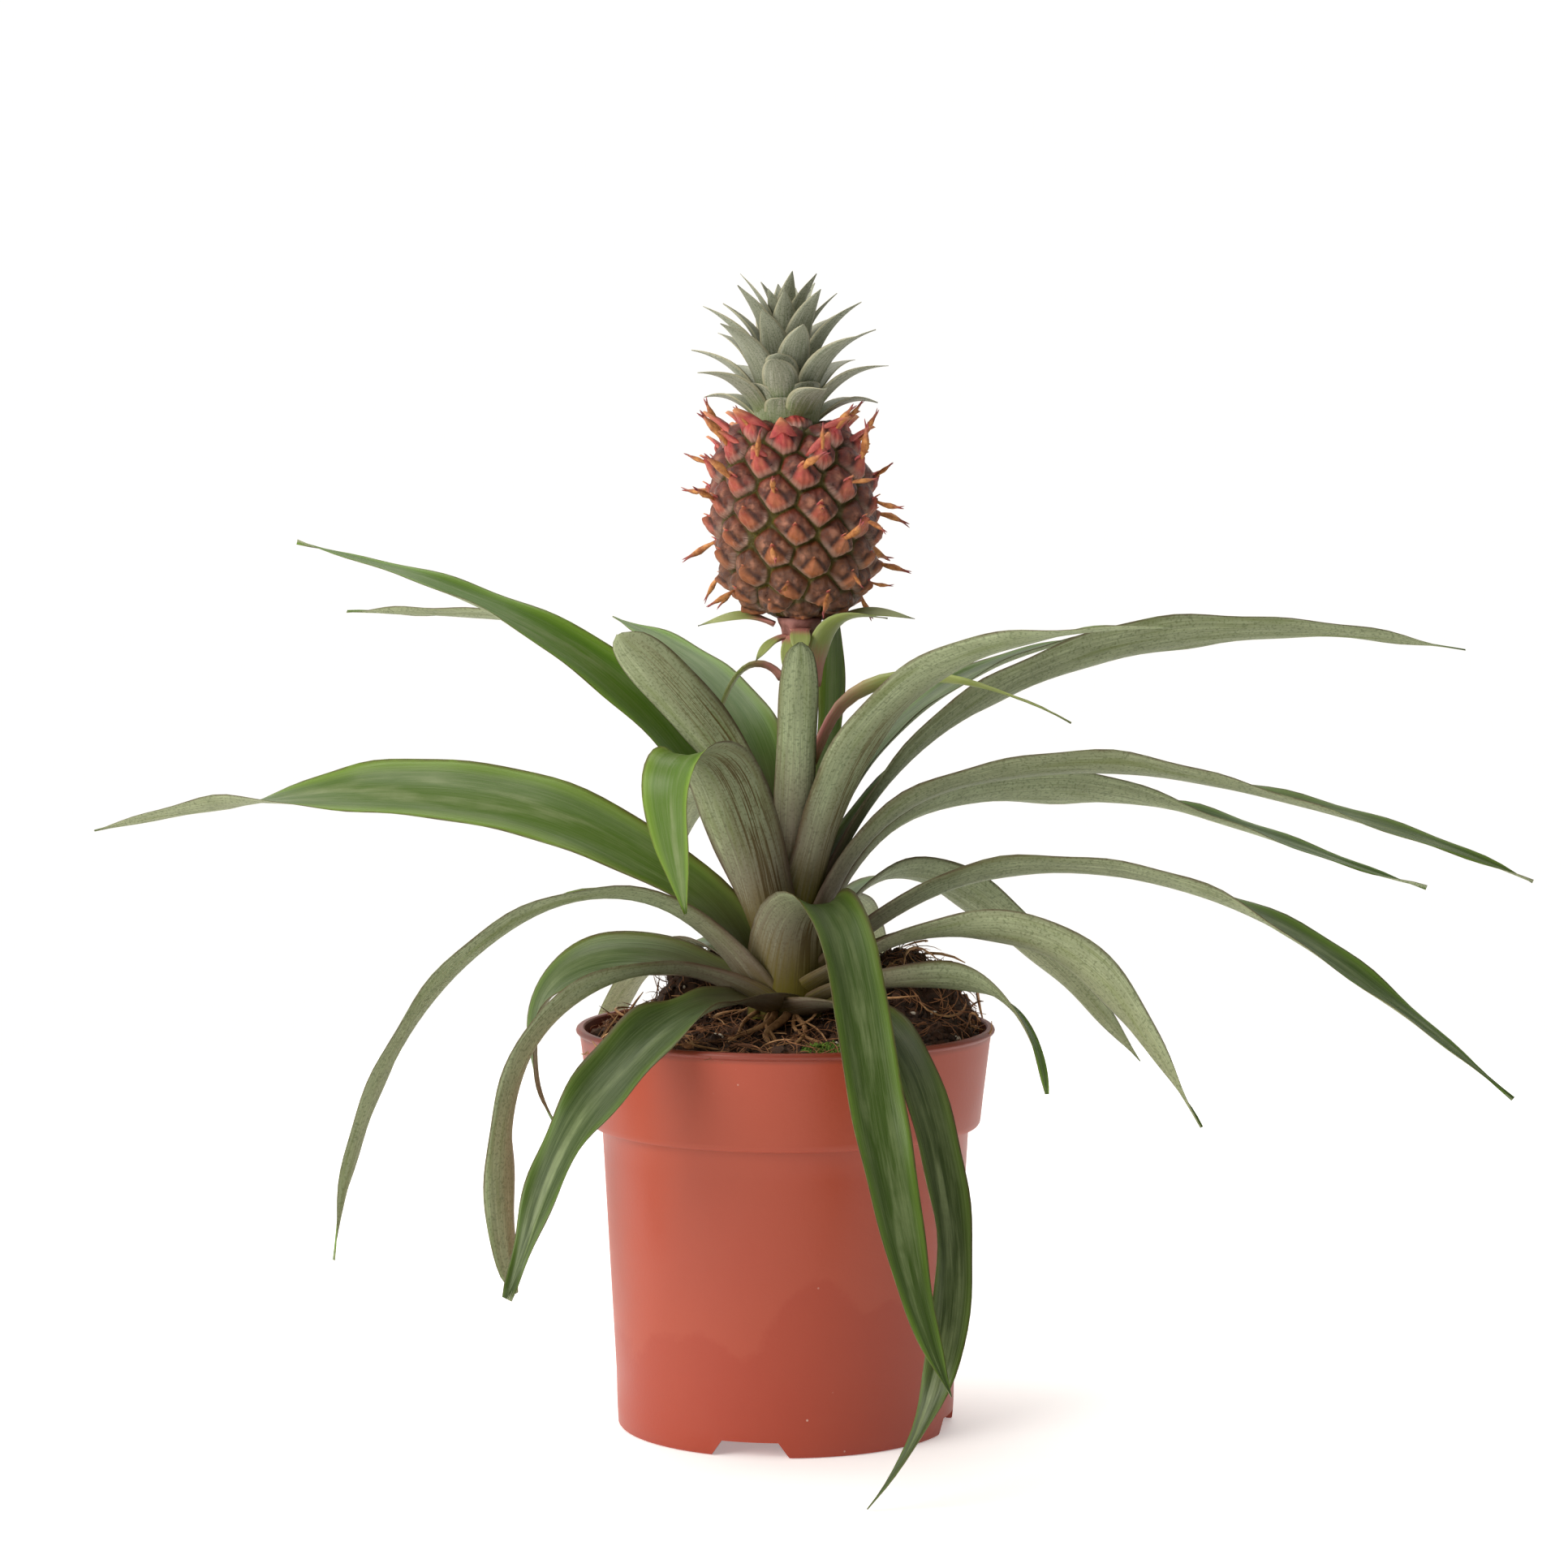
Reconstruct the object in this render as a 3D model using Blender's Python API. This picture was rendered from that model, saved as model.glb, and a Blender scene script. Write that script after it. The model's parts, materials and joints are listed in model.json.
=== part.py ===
"""Potted ornamental pineapple: pot, soil, stem, rosette leaves, bracts, fruit and crown.

Metres, +Z up. The origin is the centre of the pot's standing plane.
"""
import math

import bpy
import numpy as np

# ---- driving dimensions -------------------------------------------------------------------
RIM_R = 0.0600          # outside radius of the lip
POT_H = 0.1146          # standing plane to top of lip
LIP_H = 0.0018          # height of the bead along the rim
COLLAR_TOP_R = 0.0588   # outside of the collar under the lip
COLLAR_LOW_R = 0.0560   # outside of the collar at its lower edge
COLLAR_LOW_Z = 0.0865
BODY_TOP_R = 0.0526     # outside of the body just under the collar
BASE_R = 0.0482         # outside of the body at the foot
WALL = 0.0013           # moulded wall
FOOT_H = 0.0048         # the floor is raised by this much on its foot ring
FLOOR_T = 0.0014
NOTCH_ANGLES = (258.0, 348.0, 78.0, 168.0)
NOTCH_H, NOTCH_LOW_W, NOTCH_TOP_W = 0.0043, 0.0222, 0.0162
HOLE_R, HOLE_RING_R, HOLE_COUNT = 0.0040, 0.0330, 6
GAP = 0.0003            # clearance between touching pieces

SOIL_Z = 0.1128         # soil level along the rim
SOCKET_R, SOCKET_Z = 0.0096, 0.1000

STEM_PROFILE = ((0.0000, 0.0080), (0.0040, 0.0090), (0.0190, 0.0088), (0.0300, 0.0082),
                (0.0440, 0.0070), (0.0560, 0.0058), (0.0680, 0.0051), (0.1000, 0.0048),
                (0.1180, 0.0048), (0.1255, 0.0056), (0.1300, 0.0068), (0.1311, 0.0070))
STEM_LOW_Z = 0.1003

FRUIT_LOW_Z, FRUIT_TOP_Z = 0.2318, 0.2880
FRUIT_PROFILE = ((0.000, 0.0070), (0.050, 0.0140), (0.120, 0.0185), (0.250, 0.0217), (0.420, 0.0232),
                 (0.580, 0.0234), (0.730, 0.0228), (0.850, 0.0205), (0.930, 0.0165), (0.975, 0.0110),
                 (1.000, 0.0060))
FRUIT_EYES = 80
EYE_PROUD, EYE_GROOVE = 0.0009, 0.0013
GOLDEN = 137.508

CROWN_LOW_Z = 0.2883
CROWN_LEAVES = 19

LEAF_T = 0.0011         # thickness along the middle of a leaf
RINGS = 13              # cross-sections along a long leaf
TWISTED_RINGS = 25      # along a leaf that rolls over more than 40 degrees between two knots

MATERIALS = {
    "terracotta_plastic": (0.42, 0.13, 0.055, 1.0),
    "potting_soil": (0.035, 0.018, 0.010, 1.0),
    "stem_tissue": (0.33, 0.20, 0.16, 1.0),
    "leaf_green": (0.10, 0.22, 0.05, 1.0),
    "bract_tissue": (0.42, 0.30, 0.10, 1.0),
    "fruit_skin": (0.16, 0.06, 0.04, 1.0),
    "crown_green": (0.22, 0.30, 0.20, 1.0),
}

# Rosette leaves: name, direction at the root, height of the root, length, greatest width, then
# climb angle and change of direction at even steps from root to tip, roll about the midrib.
LEAVES = (
    ("leaf_l_top", 181, 0.1470, 0.178, 0.0185, (70, 63, 54, 42, 30, 23, 18, 16), (0, 2, 0, -4), (0, -38, -42, -18, -4)),
    ("leaf_l_top_back", 142, 0.1530, 0.188, 0.0150, (66, 54, 43, 33, 18, 4, 0, 0), (0, 2, 6, 6), (0, 10, 18, 14)),
    ("leaf_l_back", 112, 0.1560, 0.130, 0.0180, (78, 70, 54, 35, 24, 19, 15, 14), (0, 10, 14), (0, 0)),
    ("leaf_l_blunt", 207, 0.1565, 0.087, 0.0185, (80, 73, 64, 56, 49, 46, 46, 46), (0, 2, 0), (0, 24, 38, 38)),
    ("leaf_l_long", 164, 0.1260, 0.232, 0.0215, (73, 35, 24, 8, -2, -7, -9, -14), (0, -1, -3, -5), (0, -40, -58, -60, -34, 26, 30)),
    ("leaf_l_arch", 208, 0.1230, 0.195, 0.0180, (56, 38, 4, -28, -46, -63, -74, -82), (0, -8, -15, -20), (0, 12, 27, 30)),
    ("leaf_l_behind", 161, 0.1222, 0.111, 0.0185, (24, 18, 5, -10, -40, -82, -100, -128), (0, 0), (0, -34, -44, -30, -10)),
    ("leaf_l_hang", 206, 0.1218, 0.1475, 0.0165, (32, 14, -11, -37, -66, -86, -93, -104), (0, -2, -6), (0, 18, 36, 46, 48)),
    ("leaf_l_low", 240, 0.1205, 0.144, 0.0198, (16, 5, -12, -28, -37, -56, -66, -62), (0, -12, -22), (0, -10, -16, -18, -12)),
    ("leaf_f_fold", 237, 0.1385, 0.122, 0.0235, (70, 66, 60, 52, 10, -86, -104, -106), (0, 0, -2, 0), (0, 18, 26, 16, 0, 0, 0)),
    ("leaf_f_upright", 278, 0.1570, 0.070, 0.0122, (76, 74, 74, 78, 84, 88), (0, 2, 6), (0, 0)),
    ("leaf_f_drape", 284, 0.1232, 0.1945, 0.0170, (76, 70, 32, -14, -37, -50, -57, -59, -59, -59, -60, -60, -60, -58), (0, 8, 1, 1, 6, 13, 34), (0, 0)),
    ("leaf_f_low", 300, 0.1190, 0.1938, 0.0152, (16, 1, -30, -54, -64, -69, -64, -50), (0, -2, -8, -20, -74, -136), (0, 0, -10, -28, -28, 0)),
    ("leaf_r_small", 335, 0.1220, 0.090, 0.0118, (28, 12, 8, 4, -14, -44, -68, -82), (0, -2, 2), (0, -38, -46, -16, 20)),
    ("leaf_r_broad", 334, 0.1245, 0.142, 0.0188, (38, 28, 10, -4, -28, -48, -56, -60), (0, 6, 8), (0, 6, -36, -52, -50, -30)),
    ("leaf_r_back", 45, 0.1258, 0.158, 0.0160, (64, 46, 7, -24, -36, -40, -45, -48), (0, -12, -20), (0, -28, -34, -24)),
    ("leaf_r_long_low", 358, 0.1285, 0.224, 0.0185, (44, 30, 8, -9, -21, -34, -36, -40), (0, -4, -8), (0, -16, -18, -10, 14, 22, 12)),
    ("leaf_r_mid", 0, 0.1385, 0.230, 0.0190, (73, 49, 14, 2, -11, -13, -18, -23), (0, -4, -8, -10), (0, -14, -20, -12, 16, 10)),
    ("leaf_r_mid_back", 32, 0.1365, 0.218, 0.0170, (64, 44, 12, -1, -12, -17, -20, -14), (0, -12, -18, -20), (0, -16, -34, -38, 12, 18, 6)),
    ("leaf_r_top", 22, 0.1475, 0.226, 0.0190, (62, 54, 36, 22, 11, 2, -5, -9), (0, -10, -16, -18), (0, -22, -40, -34, -10)),
    ("leaf_r_strip", 44, 0.1520, 0.156, 0.0120, (64, 58, 44, 32, 22, 15, 10, 6), (0, -12, -26), (0, 0)),
    ("leaf_r_pale", 318, 0.1460, 0.158, 0.0200, (77, 71, 60, 42, 26, 14, 6, 1), (0, 6, 12, 16), (0, -10, -14, -10, 0)),
    ("leaf_b_upright", 41, 0.1600, 0.076, 0.0110, (70, 72, 78, 86, 90, 92), (0, 0), (0, 0)),
    ("leaf_b_round", 108, 0.1262, 0.070, 0.0180, (44, 30, 16, 2, -14, -28, -38, -42), (0, 0), (0, 0)),
    ("leaf_b_right", 74, 0.1225, 0.142, 0.0180, (50, 34, 10, -12, -28, -42, -54, -60), (0, 4), (0, 0)),
    ("leaf_b_mid", 88, 0.1320, 0.1365, 0.0190, (62, 44, 16, -6, -22, -36, -46, -54), (0, -4), (0, 0)),
    ("leaf_b_left", 124, 0.1204, 0.118, 0.0170, (42, 26, 0, -18, -32, -46, -60, -64), (0, 6), (0, 0)),
    ("leaf_b_high", 104, 0.1410, 0.146, 0.0170, (66, 52, 30, 8, -12, -28, -40, -50), (0, 8), (0, 0)),
)

# Bracts on the fruit stalk and under the fruit, same columns.
BRACTS = (
    ("bract_stalk_left", 198, 0.2140, 0.036, 0.0062, (58, 10, -46, -66, -72, -76), (0, 0), (0, 20, 30)),
    ("bract_stalk_thin", 330, 0.1900, 0.089, 0.0056, (66, 60, 30, 8, -6, -15, -21, -30), (0, 14, 16, 18), (0, -40, -44, -14, 0)),
    ("bract_stalk_right", 312, 0.2120, 0.036, 0.0088, (76, 74, 62, 28, 0, -8), (0, 16, 40), (0, -8, -14, -12)),
    ("bract_fruit_left", 182, 0.2296, 0.0225, 0.0050, (26, 12, -6, -14, -18), (0, 0), (0, -30, -30)),
    ("bract_fruit_left_low", 222, 0.2262, 0.013, 0.0038, (-8, -34, -48), (0, 0), (0, -20, -30)),
    ("bract_fruit_left_end", 250, 0.2262, 0.012, 0.0036, (-22, -52, -62), (0, 0), (0, -10, -20)),
    ("bract_fruit_right", 356, 0.2296, 0.0262, 0.0054, (26, 14, 2, -8, -12), (0, 0), (0, 26, 26)),
    ("bract_fruit_front", 270, 0.2280, 0.0092, 0.0060, (-14, -60, -76), (0, 0), (0, 0)),
)


# ---- shared helpers -------------------------------------------------------------------------
def material(name):
    mat = bpy.data.materials.get(name)
    if mat is None:
        mat = bpy.data.materials.new(name)
        mat.use_nodes = True
        node = mat.node_tree.nodes["Principled BSDF"]
        node.inputs["Base Color"].default_value = MATERIALS[name]
        node.inputs["Roughness"].default_value = 0.6
    return mat


def add_object(name, verts, faces, mat):
    mesh = bpy.data.meshes.new(name)
    mesh.from_pydata([tuple(map(float, v)) for v in verts], [], [tuple(map(int, f)) for f in faces])
    mesh.validate()
    obj = bpy.data.objects.new(name, mesh)
    obj.data.materials.append(material(mat))
    bpy.context.scene.collection.objects.link(obj)
    return obj


def knots(values, s):
    """Smooth value at fraction s of evenly spaced knots."""
    v = np.asarray(values, float)
    n = len(v) - 1
    x = min(max(s, 0.0), 1.0) * n
    i = min(int(x), n - 1)
    t = x - i
    p0, p1, p2, p3 = v[max(i - 1, 0)], v[i], v[i + 1], v[min(i + 2, n)]
    return 0.5 * (2 * p1 + (p2 - p0) * t + (2 * p0 - 5 * p1 + 4 * p2 - p3) * t * t
                  + (3 * p1 - p0 - 3 * p2 + p3) * t ** 3)


def axis_x(z):
    """The stalk leans a little right up to the fruit, then the fruit and crown lean back left."""
    return float(np.interp(z, (0.120, 0.165, 0.205, 0.228, 0.260, 0.290, 0.330),
                           (0.0, 0.0010, 0.0040, 0.0042, 0.0024, 0.0002, -0.0020)))


def stem_radius(z):
    zs = [STEM_LOW_Z + a for a, _ in STEM_PROFILE]
    return float(np.interp(z, zs, [r for _, r in STEM_PROFILE]))


def lathe(profile, count, centre=None):
    """Closed ring profile (r, z) turned round the Z axis."""
    verts, faces = [], []
    n = len(profile)
    for j in range(count):
        a = 2 * math.pi * j / count
        for r, z in profile:
            verts.append((r * math.cos(a), r * math.sin(a), z))
    for j in range(count):
        k = (j + 1) % count
        for i in range(n):
            m = (i + 1) % n
            faces.append((j * n + i, k * n + i, k * n + m, j * n + m))
    return verts, faces


def stack(rings, low=None, top=None):
    """Closed skin over rings of equal count, with a point at each end."""
    n = len(rings[0])
    verts = [v for ring in rings for v in ring]
    faces = []
    for i in range(len(rings) - 1):
        for j in range(n):
            k = (j + 1) % n
            faces.append((i * n + j, i * n + k, (i + 1) * n + k, (i + 1) * n + j))
    low = np.mean(rings[0], axis=0) if low is None else low
    top = np.mean(rings[-1], axis=0) if top is None else top
    a, b = len(verts), len(verts) + 1
    verts += [low, top]
    last = (len(rings) - 1) * n
    for j in range(n):
        k = (j + 1) % n
        faces.append((a, k, j))
        faces.append((b, last + j, last + k))
    return verts, faces


# ---- leaves ---------------------------------------------------------------------------------
def leaf_path(heading, root, length, climb, turn, roll, count, start_r=None):
    """Points and frames (tangent, side, upper-face normal) along the midrib."""
    step = length / (count - 1)
    h0, p0 = math.radians(heading), math.radians(knots(climb, 0.0))
    if start_r is None:
        start_r = stem_radius(root) + GAP + LEAF_T * (0.5 * math.sin(max(p0, 0.0)) + 0.05)
    pos = np.array([axis_x(root) + start_r * math.cos(h0), start_r * math.sin(h0), root])
    out = []
    fine = 6
    for i in range(count):
        s = i / (count - 1)
        h, p = math.radians(heading + knots(turn, s)), math.radians(knots(climb, s))
        tan = np.array([math.cos(p) * math.cos(h), math.cos(p) * math.sin(h), math.sin(p)])
        nor = np.array([-math.sin(p) * math.cos(h), -math.sin(p) * math.sin(h), math.cos(p)])
        side = np.cross(nor, tan)
        q = math.radians(knots(roll, s))
        side, nor = (side * math.cos(q) + nor * math.sin(q), nor * math.cos(q) - side * math.sin(q))
        out.append((pos.copy(), tan, side, nor))
        for k in range(fine):
            u = min(s + (k + 0.5) / fine / (count - 1), 1.0)
            h, p = math.radians(heading + knots(turn, u)), math.radians(knots(climb, u))
            pos = pos + step / fine * np.array([math.cos(p) * math.cos(h), math.cos(p) * math.sin(h), math.sin(p)])
    return out


def leaf_width(width, root_width, s):
    """Narrow at the root, widest before the middle, long taper to the tip."""
    rise = min(s / 0.30, 1.0)
    rise = rise * rise * (3 - 2 * rise)
    w = root_width + (width - root_width) * rise
    if s > 0.42:
        w *= 1 - 0.94 * ((s - 0.42) / 0.58) ** 2.0
    return w


def leaf_solid(path, width, root_width, arc, root_arc, thick):
    """Channelled blade: five points across the upper face, three across the lower."""
    n = len(path)
    rings = []
    for i, (pos, _, side, nor) in enumerate(path):
        s = i / (n - 1)
        w = leaf_width(width, root_width, s)
        a = math.radians(root_arc + (arc - root_arc) * min(s / 0.25, 1.0)) * (1 - 0.6 * max(s - 0.6, 0) / 0.4)
        r = w / a
        t = thick * (1 - 0.45 * s) * min(1.0, 0.35 + w / (0.5 * width + 1e-9))
        ring = []
        for u, v in ((-1, 0), (-0.5, -0.42), (0, -0.5), (0.5, -0.42), (1, 0), (0.5, 0.42), (0, 0.5), (-0.5, 0.42)):
            q = u * a / 2
            rr = r - v * t
            ring.append(pos + side * rr * math.sin(q) + nor * (r - rr * math.cos(q)))
        rings.append(ring)
    verts, skin = stack(rings)
    # both faces of the blade are split along the same diagonal, so a twist can't push one through the other
    faces = []
    for face in skin:
        if len(face) == 4:
            a, b, c, d = face
            if a % 8 < 4:
                faces += [(a, b, c), (a, c, d)]
            else:
                faces += [(a, b, d), (b, c, d)]
        else:
            faces.append(face)
    return verts, faces


def build_leaf(row, mat, count=RINGS, root_width=0.0085, arc=78.0, thick=LEAF_T):
    name, heading, root, length, width, climb, turn, roll = row
    if count == RINGS and max(abs(b - a) for a, b in zip(roll, roll[1:])) > 40:
        count = TWISTED_RINGS
    root_width = min(root_width, 0.8 * width)
    around = math.degrees(root_width / (stem_radius(root) + GAP + thick))
    path = leaf_path(heading, root, length, climb, turn, roll, count)
    verts, faces = leaf_solid(path, width, root_width, arc, min(around, arc), thick)
    return add_object(name, verts, faces, mat)


# ---- sub-parts ------------------------------------------------------------------------------
def build_pot():
    top = POT_H
    outer = [
        (BASE_R - 0.0017, 0.0), (BASE_R, 0.0), (BASE_R + 0.0005, 0.010),
        (BODY_TOP_R, COLLAR_LOW_Z + 0.0002), (COLLAR_LOW_R - 0.0008, COLLAR_LOW_Z), (COLLAR_LOW_R, COLLAR_LOW_Z + 0.0012),
        (COLLAR_TOP_R - 0.0002, top - LIP_H - 0.0006), (RIM_R - 0.0002, top - LIP_H), (RIM_R, top - 0.5 * LIP_H),
        (RIM_R - 0.0005, top), (COLLAR_TOP_R - WALL + 0.0002, top),
    ]
    inner = [
        (COLLAR_LOW_R - WALL, COLLAR_LOW_Z + 0.0030), (BODY_TOP_R - WALL, COLLAR_LOW_Z - 0.0010),
        (BASE_R - WALL + 0.0004, FOOT_H + FLOOR_T + 0.0015), (BASE_R - WALL - 0.0016, FOOT_H + FLOOR_T),
    ]
    count = 42
    rings = [[(0.5 * (BASE_R - 0.0022) * math.cos(a), 0.5 * (BASE_R - 0.0022) * math.sin(a), FOOT_H)
              for a in (2 * math.pi * j / count for j in range(count))]]
    for r, z in [(BASE_R - 0.0022, FOOT_H)] + outer + inner + [(0.5 * BASE_R, FOOT_H + FLOOR_T)]:
        rings.append([(r * math.cos(2 * math.pi * j / count), r * math.sin(2 * math.pi * j / count), z)
                      for j in range(count)])
    verts, faces = stack(rings, (0, 0, FOOT_H), (0, 0, FOOT_H + FLOOR_T))
    pot = add_object("pot", verts, faces, "terracotta_plastic")
    cut_verts, cut_faces = [], []

    def add_cut(points, quads):
        base = len(cut_verts)
        cut_verts.extend(points)
        cut_faces.extend(tuple(base + i for i in quad) for quad in quads)

    for angle in NOTCH_ANGLES:
        a = math.radians(angle)
        d = np.array([math.cos(a), math.sin(a), 0.0])
        s = np.array([-math.sin(a), math.cos(a), 0.0])
        pts = []
        for r in (BASE_R - 0.006, BASE_R + 0.004):
            for w, z in ((-NOTCH_LOW_W, -0.002), (NOTCH_LOW_W, -0.002), (NOTCH_TOP_W, NOTCH_H), (-NOTCH_TOP_W, NOTCH_H)):
                slope = (NOTCH_LOW_W - NOTCH_TOP_W) / NOTCH_H * 0.002 if z < 0 else 0.0
                pts.append(d * r + s * (w + math.copysign(slope, w)) * 0.5 + np.array([0, 0, z]))
        add_cut(pts, ((0, 3, 2, 1), (4, 5, 6, 7), (0, 1, 5, 4), (1, 2, 6, 5), (2, 3, 7, 6), (3, 0, 4, 7)))
    for i in range(HOLE_COUNT):
        a = 2 * math.pi * (i + 0.53) / HOLE_COUNT
        cx, cy = HOLE_RING_R * math.cos(a), HOLE_RING_R * math.sin(a)
        rings = [[(cx + HOLE_R * math.cos(2 * math.pi * j / 12 + 0.1), cy + HOLE_R * math.sin(2 * math.pi * j / 12 + 0.1), z)
                  for j in range(12)] for z in (FOOT_H - 0.002, FOOT_H + FLOOR_T + 0.002)]
        add_cut(*stack(rings))
    cutter = add_object("cut_pot", cut_verts, cut_faces, "terracotta_plastic")
    cutter.hide_render = True
    cutter.display_type = "WIRE"
    mod = pot.modifiers.new("cut", "BOOLEAN")
    mod.operation = "DIFFERENCE"
    mod.solver = "EXACT"
    mod.object = cutter


def soil_height(x, y):
    """Root-ball stands proud towards the back and right of the pot."""
    r = math.hypot(x, y)
    mound = 0.0215 * math.exp(-((x - 0.034) / 0.020) ** 2 - ((y - 0.012) / 0.026) ** 2)
    mound += 0.0190 * math.exp(-((x + 0.024) / 0.013) ** 2 - ((y - 0.034) / 0.012) ** 2)
    mound += 0.0080 * math.exp(-((x - 0.008) / 0.018) ** 2 - ((y - 0.038) / 0.012) ** 2)
    lump = 0.0009 * math.sin(310 * x + 1.3) * math.cos(270 * y + 0.4)
    near_stem = 0.0035 * math.exp(-(r / 0.020) ** 2)
    edge = 1 - min(max((r - 0.0485) / 0.0070, 0.0), 1.0) ** 2
    clear = min(max((r - 0.0150) / 0.0110, 0.0), 1.0)
    return SOIL_Z + (mound * clear + lump) * edge + near_stem


def build_soil():
    count = 32
    wall = lambda z: float(np.interp(z, (FOOT_H + FLOOR_T, COLLAR_LOW_Z - 0.001, COLLAR_LOW_Z + 0.003, POT_H),
                                     (BASE_R - WALL - 0.0004, BODY_TOP_R - WALL, COLLAR_LOW_R - WALL,
                                      COLLAR_TOP_R - WALL)))
    low = FOOT_H + FLOOR_T + GAP
    angles = [2 * math.pi * j / count for j in range(count)]
    rings = [[(r * math.cos(a), r * math.sin(a), z) for a in angles] for r, z in (
        (0.5 * BASE_R, low), (BASE_R - WALL - 0.0025, low), (wall(low + 0.003) - 2 * GAP, low + 0.003),
        (BODY_TOP_R - WALL - 2 * GAP, COLLAR_LOW_Z - 0.0002),
        (COLLAR_LOW_R - WALL - 2 * GAP, COLLAR_LOW_Z + 0.0042), (wall(0.1110) - 1.5 * GAP, 0.1110))]
    for r in (0.0555, 0.0515, 0.0470, 0.0400, 0.0330, 0.0260, 0.0190, 0.0135, SOCKET_R):
        rings.append([(r * math.cos(a), r * math.sin(a), soil_height(r * math.cos(a), r * math.sin(a)))
                      for a in angles])
    rings.append([(SOCKET_R * math.cos(a), SOCKET_R * math.sin(a), SOCKET_Z) for a in angles])
    verts, faces = stack(rings, (0, 0, low), (0, 0, SOCKET_Z))
    add_object("soil", verts, faces, "potting_soil")


def build_stem():
    count = 16
    rings = []
    for dz, r in STEM_PROFILE:
        z = STEM_LOW_Z + dz
        rings.append([(axis_x(z) + r * math.cos(2 * math.pi * j / count), r * math.sin(2 * math.pi * j / count), z)
                      for j in range(count)])
    verts, faces = stack(rings)
    add_object("stem", verts, faces, "stem_tissue")


def fruit_radius(f):
    return float(np.interp(f, [a for a, _ in FRUIT_PROFILE], [r for _, r in FRUIT_PROFILE]))


def build_fruit():
    """Eyes on a golden-angle spiral; each eye stands proud of the grooves round it."""
    fr = np.linspace(0, 1, 400)
    rad = np.array([fruit_radius(f) for f in fr])
    zed = FRUIT_LOW_Z + fr * (FRUIT_TOP_Z - FRUIT_LOW_Z)
    seg = np.hypot(np.diff(rad), np.diff(zed)) * math.pi * (rad[1:] + rad[:-1])
    area = np.r_[0, np.cumsum(seg)]

    def spot(k, proud):
        f = float(np.interp((k + 0.5) / FRUIT_EYES * area[-1], area, fr))
        a = math.radians(GOLDEN * k)
        e = 0.004
        dr = fruit_radius(min(f + e, 1)) - fruit_radius(max(f - e, 0))
        dz = (min(f + e, 1) - max(f - e, 0)) * (FRUIT_TOP_Z - FRUIT_LOW_Z)
        q = math.hypot(dr, dz)
        r = fruit_radius(f) + proud * dz / q
        z = FRUIT_LOW_Z + f * (FRUIT_TOP_Z - FRUIT_LOW_Z) - proud * dr / q
        z = min(max(z, FRUIT_LOW_Z), FRUIT_TOP_Z)
        return np.array([axis_x(z) + r * math.cos(a), r * math.sin(a), z])

    verts = [spot(k, EYE_PROUD) for k in range(FRUIT_EYES)]
    faces, mids = [], {}

    def middle(a, b):
        key = (min(a, b), max(a, b))
        if key not in mids:
            mids[key] = len(verts)
            verts.append(0.5 * (spot(a, 0) + spot(b, 0)) * np.array([1, 1, 1]) + 0.0)
            p = verts[-1]
            c = np.array([axis_x(p[2]), 0, p[2]])
            verts[-1] = c + (p - c) * (1 - 0.25 * EYE_GROOVE / max(np.linalg.norm(p - c), 1e-6))
        return mids[key]

    for k in range(FRUIT_EYES - 13):
        for tri in ((k, k + 5, k + 13), (k, k + 13, k + 8)):
            mean = np.mean([spot(t, 0) for t in tri], axis=0)
            c = np.array([axis_x(mean[2]), 0, mean[2]])
            centre = len(verts)
            verts.append(c + (mean - c) * (1 - 0.35 * EYE_GROOVE / np.linalg.norm(mean - c)))
            for i in range(3):
                a, b = tri[i], tri[(i + 1) % 3]
                m = middle(a, b)
                faces += [(m, a, centre), (b, m, centre)]
    edges = {}
    for f in faces:
        for i in range(3):
            edges[(f[i], f[(i + 1) % 3])] = True
    loose = [(a, b) for a, b in edges if (b, a) not in edges]
    low, top = len(verts), len(verts) + 1
    verts += [np.array([axis_x(FRUIT_LOW_Z), 0, FRUIT_LOW_Z]), np.array([axis_x(FRUIT_TOP_Z), 0, FRUIT_TOP_Z])]
    half = 0.5 * (FRUIT_LOW_Z + FRUIT_TOP_Z)
    for a, b in loose:
        faces.append((b, a, low if 0.5 * (verts[a][2] + verts[b][2]) < half else top))
    obj = add_object("fruit", verts, faces, "fruit_skin")
    return obj


def build_crown():
    """Short leafy tuft on top of the fruit, leaves on a golden-angle spiral."""
    count = 12
    rings = []
    for z, r in ((CROWN_LOW_Z, 0.0052), (CROWN_LOW_Z + 0.004, 0.0050), (CROWN_LOW_Z + 0.014, 0.0034),
                 (CROWN_LOW_Z + 0.023, 0.0016)):
        rings.append([(axis_x(z) + r * math.cos(2 * math.pi * j / count), r * math.sin(2 * math.pi * j / count), z)
                      for j in range(count)])
    verts, faces = stack(rings)
    add_object("crown_stem", verts, faces, "crown_green")
    for k in range(CROWN_LEAVES):
        s = k / (CROWN_LEAVES - 1)
        z = CROWN_LOW_Z + 0.0016 + 0.0200 * s ** 0.9
        r = float(np.interp(z - CROWN_LOW_Z, (0, 0.004, 0.014, 0.023), (0.0052, 0.0050, 0.0034, 0.0016)))
        length = 0.0230 + 0.008 * math.sin(math.pi * min(s + 0.15, 1.0)) - 0.0035 * s
        width = 0.0082 - 0.0044 * s
        up = 34 + 50 * s
        climb = (up + 6, up + 8, up + 2, up - 16, up - 34)
        heading = 20 + GOLDEN * k
        thick = 0.0008
        start = r + GAP + 0.6 * thick
        path = leaf_path(heading, z, length, climb, (0, 0), (0, 0), 6, start)
        verts, faces = leaf_solid(path, width, 0.0030 - 0.0012 * s, 70, 30, thick)
        add_object("crown_leaf_%02d" % (k + 1), verts, faces, "crown_green")


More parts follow.
